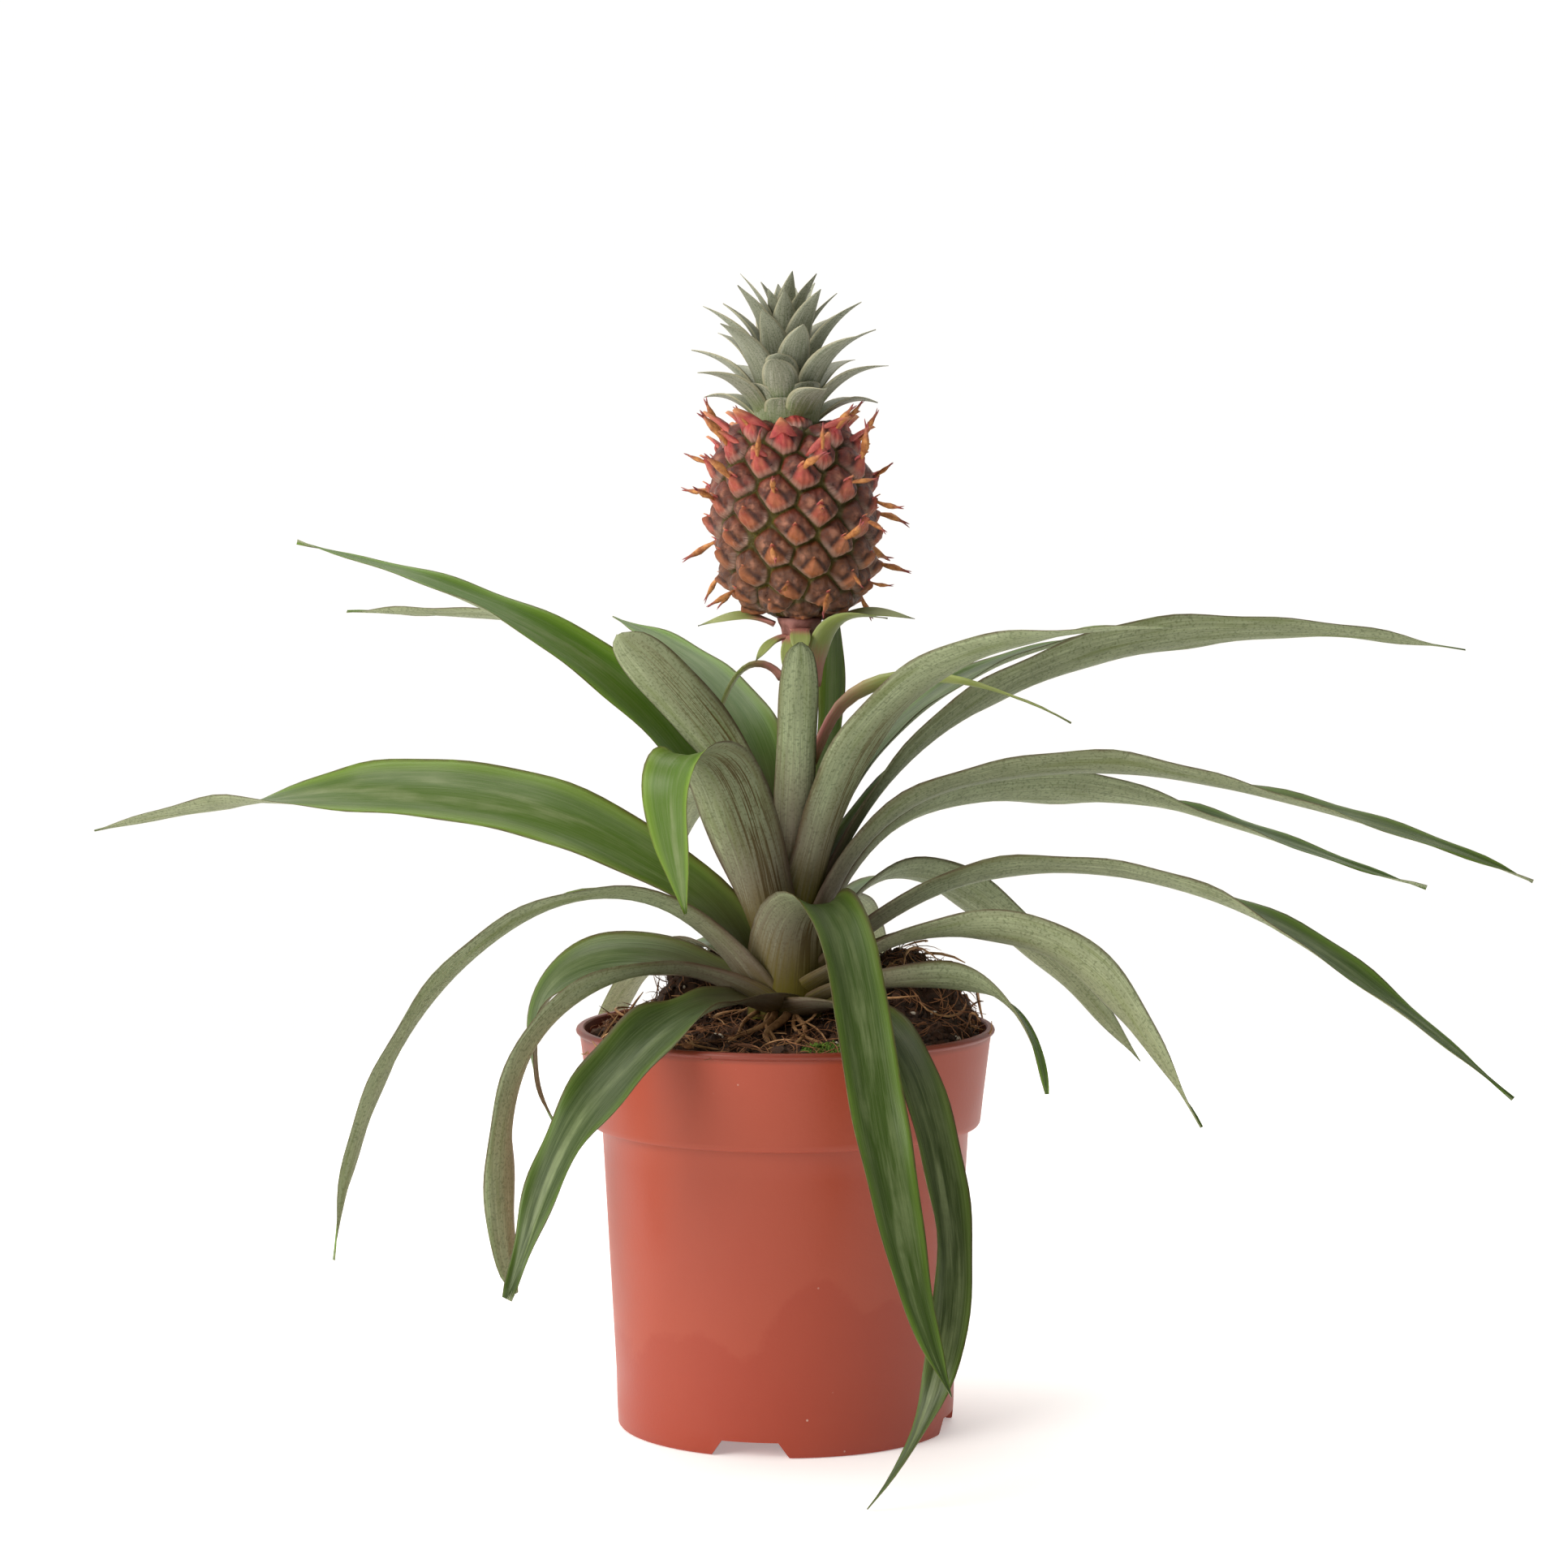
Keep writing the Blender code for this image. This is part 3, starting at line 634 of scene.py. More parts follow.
@dataclass(frozen=True)
class FruitSkin(Finish):
    """Unripe pineapple skin: polished brown-purple sepals, downy edges, orange-pink bracts, olive seams.

    "eye" holds the place across and up each eye, in eye radii, and how far the nearest seam is, from 0 to 1.
    One more attribute holds how far the point lies under the painted highlight on a cheek and under the painted shade
    in the fold beside the bract.
    "ripe" holds the height on the fruit, how far the bract covers the point, and the eye's own number.
    """

    sepal_low: str = "#6C3E1C"
    sepal_top: str = "#7E2826"
    dusk: str = "#331610"
    glow: str = "#8E5640"
    bract_low: str = "#A05E38"
    bract_top: str = "#BA3844"
    pale: str = "#CC8458"
    painted_cheek_highlight: str = "#BE8468"
    painted_fold_shade: str = "#2A110C"
    down: str = "#BE9E8C"
    seam_dark: str = "#2C1C06"
    seam_olive: str = "#625A12"

    def build(self) -> bpy.types.Material:
        """Builds the material.

        Returns:
            The material.
        """
        mat, tree, shader, at = self.start()
        eye, ripe, wax = self.marks(tree, "eye", "ripe", "wax")
        fine = add(tree, "ShaderNodeTexNoise", {"Vector": at, "Scale": 420.0, "Detail": 5.0,
                                                "Roughness": 0.65}).outputs[0]
        mid = add(tree, "ShaderNodeTexNoise", {"Vector": at, "Scale": 150.0, "Detail": 3.0}).outputs[0]
        # hairs fan out from each eye's middle
        angle = add(tree, "ShaderNodeMath", {0: eye[0], 1: eye[1]}, operation="ARCTAN2").outputs[0]
        hair = self.stretched(tree, (angle, ripe[2]), (9.0, 17.0), 3.0, 4.0, 0.7)
        up = add(tree, "ShaderNodeMath", {0: mid, 1: 0.5, 2: ripe[0]}, operation="MULTIPLY_ADD").outputs[0]
        sepal = self.layered(tree, linear(self.sepal_low), (
            (self.sepal_top, ((up, 0.55, 1.25, 0.0, 1.0),)),
            (self.dusk, ((fine, 0.35, 0.65, 0.82, 0.0),)),
            (self.glow, ((hair, 0.50, 0.72, 0.0, 0.45),)),
        ))
        bract = self.layered(tree, linear(self.bract_low), (
            (self.bract_top, ((up, 0.55, 1.25, 0.0, 1.0),)),
            (self.pale, ((fine, 0.40, 0.70, 0.0, 0.5),)),
        ))
        tone = add(tree, "ShaderNodeMix", {0: ripe[1], 6: sepal, 7: bract}, data_type="RGBA").outputs[2]
        tone = self.layered(tree, tone, (
            # painted highlight on the cheeks of the eyes, and painted shade in the folds beside the bract
            (self.painted_cheek_highlight, ((wax[0], 0.0, 1.0, 0.0, 1.0), (fine, 0.42, 0.62, 0.10, 0.75))),
            (self.painted_fold_shade, ((wax[1], 0.0, 1.0, 0.0, 0.80),)),
            # grey down on the lower edge of every eye
            (self.down, ((eye[1], 0.10, -0.40, 0.0, 1.0), (hair, 0.32, 0.54, 0.0, 1.0),
                         (eye[2], 0.95, 0.36, 0.0, 0.72))),
        ))
        seam = self.layered(tree, linear(self.seam_dark), ((self.seam_olive, ((mid, 0.0, 1.0, 0.0, 1.0),)),))
        near = add(tree, "ShaderNodeMapRange", {0: eye[2], 1: 0.28, 2: 0.09}).outputs[0]
        tone = add(tree, "ShaderNodeMix", {0: near, 6: tone, 7: seam}, data_type="RGBA").outputs[2]
        rough = add(tree, "ShaderNodeMapRange", {0: fine, 1: 0.3, 2: 0.7, 3: 0.24, 4: 0.50})
        tree.links.new(rough.outputs[0], shader.inputs["Roughness"])
        high = add(tree, "ShaderNodeMath", {0: hair, 1: fine}, operation="ADD").outputs[0]
        self.close(tree, shader, tone, high, 0.7, 0.0005)
        return mat


@dataclass(frozen=True)
class Speckled(Finish):
    """Plain organic matter in two mixed tones, such as soil, fibre, moss, dried flower or stalk.

    The second tone follows noise at a given grain, and "blade" can run a third one to the tip.
    """

    one: str = "#3A2418"
    two: str = "#24160E"
    tip: str = ""
    grain: float = 0.0012
    rough: float = 0.85
    bump: float = 0.0006

    def build(self) -> bpy.types.Material:
        """Builds the material; grain is the size of one mottle in metres.

        Returns:
            The material.
        """
        mat, tree, shader, at = self.start()
        spot = add(tree, "ShaderNodeTexNoise", {"Vector": at, "Scale": 0.35 / self.grain, "Detail": 4.0,
                                                "Roughness": 0.6}).outputs[0]
        layers: list[tuple[str, Any]] = [(self.two, ((spot, 0.38, 0.62, 0.0, 1.0),))]
        if self.tip:
            along = self.marks(tree, "blade")[0][1]
            layers.append((self.tip, ((along, 0.62, 0.95, 0.0, 1.0),)))
        shader.inputs["Roughness"].default_value = self.rough
        self.close(tree, shader, self.layered(tree, linear(self.one), layers), spot, 0.6, self.bump)
        return mat


# ---- leaves ----------------------------------------------------------------------------------
STEM_PROFILE = ((0.0000, 0.0080), (0.0040, 0.0090), (0.0190, 0.0088), (0.0300, 0.0082),
                (0.0440, 0.0070), (0.0560, 0.0058), (0.0680, 0.0051), (0.1000, 0.0048),
                (0.1180, 0.0048), (0.1255, 0.0056), (0.1300, 0.0068), (0.1311, 0.0070))
STEM_LOW_Z = 0.1003


def stem_radius(z: float) -> float:
    """Radius of the shoot at a height."""
    return float(np.interp(z, [STEM_LOW_Z + a for a, _ in STEM_PROFILE], [r for _, r in STEM_PROFILE]))


def directions(heading: float, climb: float) -> tuple[np.ndarray, np.ndarray]:
    """Unit vectors along a midrib and out of its upper face.

    Args:
        heading: Radians round +Z.
        climb: Radians above the level.

    Returns:
        Both vectors.
    """
    tan = np.array([math.cos(climb) * math.cos(heading), math.cos(climb) * math.sin(heading), math.sin(climb)])
    nor = np.array([-math.sin(climb) * math.cos(heading), -math.sin(climb) * math.sin(heading), math.cos(climb)])
    return tan, nor


@dataclass
class Blade:
    """One leaf or bract: where it roots, how its midrib climbs and turns, and its outline.

    climb, turn and roll are knots at even steps from root to tip: the angle above the level,
    the change of heading, and the turn about the midrib.
    """

    name: str
    heading: float
    root: float
    length: float
    width: float
    climb: Sequence[float]
    turn: Sequence[float] = (0, 0)
    roll: Sequence[float] = (0, 0)
    sheath: float = 0.0200
    arc: float = 78.0
    thick: float = 0.0010
    bright: float = 0.5
    brown: float = 0.4
    ripple: float = 0.0006
    taper: float = 2.0
    stub: float = 0.02
    fleshy: float = 2.0
    rows: int = 48
    cols: int = 12
    foot: float = 0.007
    start: Optional[float] = None
    clasp: float = 0.16

    def direction(self, s: float) -> tuple[float, float]:
        """Heading and climb in radians at fraction s."""
        return math.radians(self.heading + knots(self.turn, s)), math.radians(knots(self.climb, s))

    def path(self) -> list[tuple[float, np.ndarray, np.ndarray, np.ndarray]]:
        """Follows the midrib from below the root to the tip.

        Returns:
            Distance along in metres, place, side direction and upper-face normal, row by row.
        """
        heading, climb = self.direction(0.0)
        start = self.start
        if start is None:
            start = stem_radius(self.root) + 0.0003 + 0.0011 * (0.5 * math.sin(max(climb, 0.0)) + 0.05)
        root = np.array([axis_x(self.root) + start * math.cos(heading), start * math.sin(heading), self.root])
        out = []
        steps = 4 if self.foot else 0
        pos = root.copy()
        below = []
        for i in range(steps):
            p = climb + (math.radians(86) - climb) * smooth((i + 1) / steps)
            tan, nor = directions(heading, p)
            pos = pos - tan * self.foot / steps
            below.append((-self.foot * (i + 1) / steps, pos.copy(), np.cross(nor, tan), nor))
        out += below[::-1]
        pos = root.copy()
        fine = 4
        for i in range(self.rows):
            s = i / (self.rows - 1)
            h, p = self.direction(s)
            tan, nor = directions(h, p)
            side = np.cross(nor, tan)
            q = math.radians(knots(self.roll, s))
            side, nor = side * math.cos(q) + nor * math.sin(q), nor * math.cos(q) - side * math.sin(q)
            out.append((s * self.length, pos.copy(), side, nor))
            for k in range(fine):
                h, p = self.direction(min(s + (k + 0.5) / fine / (self.rows - 1), 1.0))
                pos = pos + self.length / (self.rows - 1) / fine * directions(h, p)[0]
        return out

    def width_at(self, s: float) -> float:
        """Width of the blade: a clasping sheath, a slight waist, full width, then the long tip.

        Args:
            s: Fraction of the length.

        Returns:
            Width in metres.
        """
        waist = 0.86 * self.width
        w = self.sheath + (waist - self.sheath) * smooth(s, 0.0, self.clasp)
        w += (self.width - waist) * smooth(s, 0.12, 0.36)
        if s > 0.42:
            w *= 1 - (1 - self.stub) * ((s - 0.42) / 0.58) ** self.taper
        if s > 0.95 and self.stub > 0.1:
            w *= math.sqrt(max(1 - ((s - 0.95) / 0.052) ** 2, 0.02))
        return w

    def build(self, material: bpy.types.Material, number: int) -> bpy.types.Object:
        """Makes the blade as one closed skin with separate upper and lower faces.

        Args:
            material: Its finish.
            number: The blade's own number, for its pattern.

        Returns:
            The object.
        """
        rows = self.path()
        m = self.cols + 1
        across = np.linspace(-1, 1, m)
        upper, lower, marks = [], [], []
        for along, pos, side, nor in rows:
            s = max(along / self.length, 0.0)
            w = self.width_at(s)
            hug = math.degrees(self.sheath / (stem_radius(self.root) + 0.0018))
            arc = math.radians(hug + (self.arc - hug) * min(s / 0.25, 1.0)) * (1 - 0.6 * max(s - 0.6, 0) / 0.4)
            r = w / max(arc, 0.05)
            t = self.thick * (1 - 0.45 * s) * min(1.0, 0.25 + w / (0.6 * self.width))
            t *= 1 + self.fleshy * (1 - smooth(along, -0.002, 0.024))
            for u in across:
                q = u * arc / 2
                half = 0.5 * t * (1 - 0.80 * abs(u) ** 1.6)
                sway = self.ripple * abs(u) ** 2 * smooth(s, 0.08, 0.3) * (
                    math.sin(along * 95 + number * 1.7 + u) + 0.6 * math.sin(along * 210 + number * 2.9 - 2 * u))
                keel = 0.00010 * math.cos(9.4 * u + number) * smooth(s, 0.03, 0.2)
                base = pos + side * r * math.sin(q) + nor * (r - r * math.cos(q) + sway + keel)
                out = nor * math.cos(q) - side * math.sin(q)
                upper.append(base + out * half)
                lower.append(base - out * half)
                marks.append((u, along, 1.0))
        n = len(rows)
        count = n * m
        verts = np.array(upper + lower)
        faces: list[tuple[int, ...]] = []
        for i in range(n - 1):
            for j in range(m - 1):
                a, b, c, d = i * m + j, i * m + j + 1, (i + 1) * m + j + 1, (i + 1) * m + j
                faces.append((a, d, c, b))
                faces.append((count + a, count + b, count + c, count + d))
            for j, flip in ((0, False), (m - 1, True)):
                a, d = i * m + j, (i + 1) * m + j
                quad = (a, count + a, count + d, d)
                faces.append(quad[::-1] if flip else quad)
        for i, flip in ((0, True), (n - 1, False)):
            for j in range(m - 1):
                a, b = i * m + j, i * m + j + 1
                quad = (a, count + a, count + b, b)
                faces.append(quad[::-1] if flip else quad)
        blade = np.array(marks + [(u, v, 0.0) for u, v, _ in marks])
        own = (number * 0.6180339) % 1.0
        tint = np.tile([self.bright, own, self.brown], (len(verts), 1))
        obj = mesh_object(self.name, verts, faces, material, {"blade": blade, "tint": tint})
        face_outwards(obj.data)
        return obj


def rosette() -> list[Blade]:
    """Lists the leaves round the shoot.

    Returns:
        Every leaf, with its heading, root height, length, width and bends.
    """
    return [
        Blade("leaf_l_top", 181, 0.1470, 0.178, 0.0185, (70, 63, 54, 42, 30, 23, 18, 16),
              (0, 2, 0, -4), (0, -38, -42, -18, -4), bright=0.85),
        Blade("leaf_l_top_back", 142, 0.1530, 0.188, 0.0150, (66, 54, 43, 33, 18, 4, 0, 0),
              (0, 2, 6, 6), (0, 10, 18, 14), bright=0.5),
        Blade("leaf_l_back", 112, 0.1560, 0.130, 0.0180, (78, 70, 54, 35, 24, 19, 15, 14),
              (0, 10, 14), (0, 0), bright=0.55),
        Blade("leaf_l_blunt", 207, 0.1565, 0.087, 0.0185, (80, 73, 64, 56, 49, 46, 46, 46),
              (0, 2, 0), (0, 24, 38, 38), brown=1.0, taper=7.0, stub=0.42),
        Blade("leaf_l_long", 164, 0.1260, 0.232, 0.0215, (73, 35, 24, 8, -2, -7, -9, -14),
              (0, -1, -3, -5), (0, -40, -58, -60, -34, 26, 30), bright=0.62),
        Blade("leaf_l_arch", 208, 0.1230, 0.195, 0.0180, (56, 38, 4, -28, -46, -63, -74, -82),
              (0, -8, -15, -20), (0, 12, 27, 30)),
        Blade("leaf_l_behind", 161, 0.1222, 0.111, 0.0185, (24, 18, 5, -10, -40, -82, -100, -128),
              (0, 0), (0, -34, -44, -30, -10), bright=0.2),
        Blade("leaf_l_hang", 206, 0.1218, 0.1475, 0.0165, (32, 14, -11, -37, -66, -86, -93, -104),
              (0, -2, -6), (0, 18, 36, 46, 48), bright=0.3, taper=7.0, stub=0.3),
        Blade("leaf_l_low", 240, 0.1205, 0.144, 0.0198, (16, 5, -12, -28, -37, -56, -66, -62),
              (0, -12, -22), (0, -10, -16, -18, -12), bright=0.12, ripple=0.0016),
        Blade("leaf_f_fold", 237, 0.1385, 0.122, 0.0235, (70, 66, 60, 52, 10, -86, -104, -106),
              (0, 0, -2, 0), (0, 18, 26, 16, 0, 0, 0), bright=0.8, brown=1.0),
        Blade("leaf_f_upright", 278, 0.1570, 0.070, 0.0122, (76, 74, 74, 78, 84, 88),
              (0, 2, 6), (0, 0), sheath=0.0120, taper=7.0, stub=0.45),
        Blade("leaf_f_drape", 284, 0.1232, 0.1945, 0.0170,
              (76, 70, 32, -14, -37, -50, -57, -59, -59, -59, -60, -60, -60, -58),
              (0, 8, 1, 1, 6, 13, 34), (0, 0), sheath=0.0350, clasp=0.32, bright=0.26, brown=1.0, taper=3.2),
        Blade("leaf_f_low", 300, 0.1190, 0.1938, 0.0152, (16, 1, -30, -54, -64, -69, -64, -50),
              (0, -2, -8, -20, -74, -136), (0, 0, -10, -28, -28, 0), bright=0.08),
        Blade("leaf_r_small", 335, 0.1220, 0.090, 0.0118, (28, 12, 8, 4, -14, -44, -68, -82),
              (0, -2, 2), (0, -38, -46, -16, 20), sheath=0.0140),
        Blade("leaf_r_broad", 334, 0.1245, 0.142, 0.0188, (38, 28, 10, -4, -28, -48, -56, -60),
              (0, 6, 8), (0, 6, -36, -52, -50, -30), bright=0.3, brown=0.8),
        Blade("leaf_r_back", 45, 0.1258, 0.158, 0.0160, (64, 46, 7, -24, -36, -40, -45, -48),
              (0, -12, -20), (0, -28, -34, -24)),
        Blade("leaf_r_long_low", 358, 0.1285, 0.224, 0.0185, (44, 30, 8, -9, -21, -34, -36, -40),
              (0, -4, -8), (0, -16, -18, -10, 14, 22, 12), bright=0.35),
        Blade("leaf_r_mid", 0, 0.1385, 0.230, 0.0190, (73, 49, 14, 2, -11, -13, -18, -23),
              (0, -4, -8, -10), (0, -14, -20, -12, 16, 10), bright=0.35),
        Blade("leaf_r_mid_back", 32, 0.1365, 0.218, 0.0170, (64, 44, 12, -1, -12, -17, -20, -14),
              (0, -12, -18, -20), (0, -16, -34, -38, 12, 18, 6), bright=0.3),
        Blade("leaf_r_top", 22, 0.1475, 0.226, 0.0190, (62, 54, 36, 22, 11, 2, -5, -9),
              (0, -10, -16, -18), (0, -22, -40, -34, -10)),
        Blade("leaf_r_strip", 44, 0.1520, 0.156, 0.0120, (64, 58, 44, 32, 22, 15, 10, 6),
              (0, -12, -26), (0, 0), bright=0.25),
        Blade("leaf_r_pale", 318, 0.1460, 0.158, 0.0200, (77, 71, 60, 42, 26, 14, 6, 1),
              (0, 6, 12, 16), (0, -10, -14, -10, 0), brown=1.0),
        Blade("leaf_b_upright", 41, 0.1600, 0.076, 0.0110, (70, 72, 78, 86, 90, 92),
              (0, 0), (0, 0), sheath=0.0110, bright=0.9, stub=0.3, taper=5.0),
        Blade("leaf_b_round", 108, 0.1262, 0.070, 0.0180, (44, 30, 16, 2, -14, -28, -38, -42),
              (0, 0), (0, 0), bright=0.3),
        Blade("leaf_b_right", 74, 0.1225, 0.142, 0.0180, (50, 34, 10, -12, -28, -42, -54, -60),
              (0, 4), (0, 0), bright=0.3),
        Blade("leaf_b_mid", 88, 0.1320, 0.1365, 0.0190, (62, 44, 16, -6, -22, -36, -46, -54),
              (0, -4), (0, 0), bright=0.6),
        Blade("leaf_b_left", 124, 0.1204, 0.118, 0.0170, (42, 26, 0, -18, -32, -46, -60, -64),
              (0, 6), (0, 0), bright=0.3),
        Blade("leaf_b_high", 104, 0.1410, 0.146, 0.0170, (66, 52, 30, 8, -12, -28, -40, -50),
              (0, 8), (0, 0), bright=0.5),
    ]


def bracts() -> list[Blade]:
    """Lists the thin bracts on the stalk and in a ruff under the fruit.

    Returns:
        Every bract; brown holds its length, which its finish divides by.
    """
    rows = [
        Blade("bract_stalk_left", 198, 0.2140, 0.036, 0.0062, (58, 10, -46, -66, -72, -76),
              (0, 0), (0, 20, 30)),
        Blade("bract_stalk_thin", 330, 0.1900, 0.089, 0.0056, (66, 60, 30, 8, -6, -15, -21, -30),
              (0, 14, 16, 18), (0, -40, -44, -14, 0)),
        Blade("bract_stalk_right", 312, 0.2120, 0.036, 0.0088, (76, 74, 62, 28, 0, -8),
              (0, 16, 40), (0, -8, -14, -12)),
        Blade("bract_fruit_left", 182, 0.2296, 0.0225, 0.0050, (26, 12, -6, -14, -18),
              (0, 0), (0, -30, -30)),
        Blade("bract_fruit_left_low", 222, 0.2262, 0.013, 0.0038, (-8, -34, -48),
              (0, 0), (0, -20, -30)),
        Blade("bract_fruit_left_end", 250, 0.2262, 0.012, 0.0036, (-22, -52, -62),
              (0, 0), (0, -10, -20)),
        Blade("bract_fruit_right", 356, 0.2296, 0.0262, 0.0054, (26, 14, 2, -8, -12),
              (0, 0), (0, 26, 26)),
        Blade("bract_fruit_front", 270, 0.2280, 0.0092, 0.0060, (-14, -60, -76),
              (0, 0), (0, 0)),
    ]
    for row in rows:
        row.sheath, row.thick, row.ripple = 0.9 * row.width + 0.001, 0.0006, 0.0002
        row.rows, row.cols, row.foot, row.arc, row.brown = 20, 6, 0.0, 60.0, row.length
    return rows


# ---- pot, soil and stalk ---------------------------------------------------------------------
@dataclass
class Pot:
    """Round nursery pot with a bead lip, a deep collar and a notched foot ring."""

    rim_r: float = 0.0600
    height: float = 0.1146
    lip_h: float = 0.0018
    collar_top_r: float = 0.0588
    collar_low_r: float = 0.0560
    collar_low_z: float = 0.0865
    body_top_r: float = 0.0526
    base_r: float = 0.0482
    wall: float = 0.0013
    foot_h: float = 0.0048
    floor_t: float = 0.0014
    notches: Sequence[float] = (258.0, 348.0, 78.0, 168.0)
    notch_h: float = 0.0043
    notch_low_w: float = 0.0222
    notch_top_w: float = 0.0162
    hole_r: float = 0.0040
    hole_ring_r: float = 0.0330
    holes: int = 6
    sides: int = 160

    def profile(self) -> list[tuple[float, float]]:
        """Draws the outline from under the floor, up the outside, over the lip and down the inside.

        Returns:
            Radius and height of each corner.
        """
        lip, top = self.lip_h, self.height
        outer = [(self.base_r - 0.0022, self.foot_h), (self.base_r - 0.0019, 0.0003), (self.base_r - 0.0016, 0.0),
                 (self.base_r - 0.0003, 0.0), (self.base_r, 0.0004), (self.base_r + 0.0003, 0.006)]
        for i in range(1, 9):
            f = i / 9
            outer.append((self.base_r + (self.body_top_r - self.base_r) * f, 0.006 + (self.collar_low_z - 0.006) * f))
        low_z, low_r = self.collar_low_z, self.collar_low_r
        outer += [(self.body_top_r, low_z - 0.0004), (self.body_top_r + 0.0004, low_z + 0.0002),
                  (low_r - 0.0013, low_z + 0.0001), (low_r - 0.0005, low_z + 0.0003), (low_r - 0.0001, low_z + 0.0009),
                  (low_r + 0.0001, low_z + 0.0022)]
        outer += [(low_r + (self.collar_top_r - low_r) * f, low_z + 0.002 + (top - lip - 0.003 - low_z) * f)
                  for f in (0.25, 0.5, 0.75, 1.0)]
        r = self.rim_r
        outer += [(self.collar_top_r + 0.0001, top - lip - 0.0003), (r - 0.0006, top - lip), (r - 0.0001, top - 0.0013),
                  (r, top - 0.0009), (r - 0.0002, top - 0.0004), (r - 0.0007, top), (self.collar_top_r - 0.0008, top),
                  (self.collar_top_r - 0.0012, top - 0.0004)]
        inner = [(low_r - self.wall, low_z + 0.0030), (self.body_top_r - self.wall, low_z - 0.0010),
                 (self.base_r - self.wall + 0.0004, self.foot_h + self.floor_t + 0.0015),
                 (self.base_r - self.wall - 0.0016, self.foot_h + self.floor_t)]
        return outer + inner

    def build(self, material: bpy.types.Material) -> bpy.types.Object:
        """Turns the outline and cuts the notches and drain holes.

        Args:
            material: Its finish.

        Returns:
            The pot.
        """
        rings = [circle(0.5 * self.base_r, self.foot_h, self.sides)]
        rings += [circle(r, z, self.sides) for r, z in self.profile()]
        rings.append(circle(0.5 * self.base_r, self.foot_h + self.floor_t, self.sides))
        verts, faces = ring_skin(rings)
        pot = mesh_object("pot_raw", verts, faces, material)
        points: list[np.ndarray] = []
        quads: list[tuple[int, ...]] = []
        for angle in self.notches:
            a = math.radians(angle)
            out, side = np.array([math.cos(a), math.sin(a), 0]), np.array([-math.sin(a), math.cos(a), 0])
            first = len(points)
            for r in (self.base_r - 0.006, self.base_r + 0.004):
                for w, z in ((-self.notch_low_w - 0.0028, -0.002), (self.notch_low_w + 0.0028, -0.002),
                             (self.notch_top_w, self.notch_h), (-self.notch_top_w, self.notch_h)):
                    points.append(out * r + side * w / 2 + np.array([0, 0, z]))
            quads += [tuple(first + i for i in q) for q in (
                (0, 3, 2, 1), (4, 5, 6, 7), (0, 1, 5, 4), (1, 2, 6, 5), (2, 3, 7, 6), (3, 0, 4, 7))]
        for i in range(self.holes):
            a = 2 * math.pi * (i + 0.53) / self.holes
            centre = np.array([self.hole_ring_r * math.cos(a), self.hole_ring_r * math.sin(a), 0])
            v, f = ring_skin([circle(self.hole_r, z, 28) + centre
                              for z in (self.foot_h - 0.002, self.foot_h + self.floor_t + 0.002)])
            quads += [tuple(len(points) + k for k in q) for q in f]
            points += list(v)
        cutter = mesh_object("pot_cutter", np.array(points), quads, material)
        cut = pot.modifiers.new("cut", "BOOLEAN")
        cut.operation, cut.solver, cut.object = "DIFFERENCE", "EXACT", cutter
        piece = baked(pot, "pot_moulded")
        bpy.data.objects.remove(cutter)
        piece.data.set_sharp_from_angle(angle=math.radians(38))
        place(piece, Slot.POT, "pot")
        return piece


SOIL_LEVEL = 0.1128
# mounds of the root-ball: height, middle to the right and back, and spread to the right and back
MOUNDS = ((0.0215, 0.034, 0.012, 0.020, 0.026), (0.0190, -0.024, 0.034, 0.013, 0.012),
          (0.0080, 0.008, 0.038, 0.018, 0.012))


def soil_height(x: float, y: float) -> float:
    """Level of the root-ball, which stands proud towards the back and right of the pot.

    Args:
        x: Place to the right.
        y: Place to the back.

    Returns:
        Height in metres.
    """
    r = math.hypot(x, y)
    mound = sum(high * math.exp(-((x - at_x) / wide_x) ** 2 - ((y - at_y) / wide_y) ** 2)
                for high, at_x, at_y, wide_x, wide_y in MOUNDS)
    lump = 0.0009 * math.sin(310 * x + 1.3) * math.cos(270 * y + 0.4)
    near = 0.0058 * math.exp(-(r / 0.017) ** 2)
    edge = 1 - min(max((r - 0.0485) / 0.0070, 0.0), 1.0) ** 2
    clear = min(max((r - 0.0150) / 0.0110, 0.0), 1.0)
    return SOIL_LEVEL + (mound * clear + lump) * edge + near


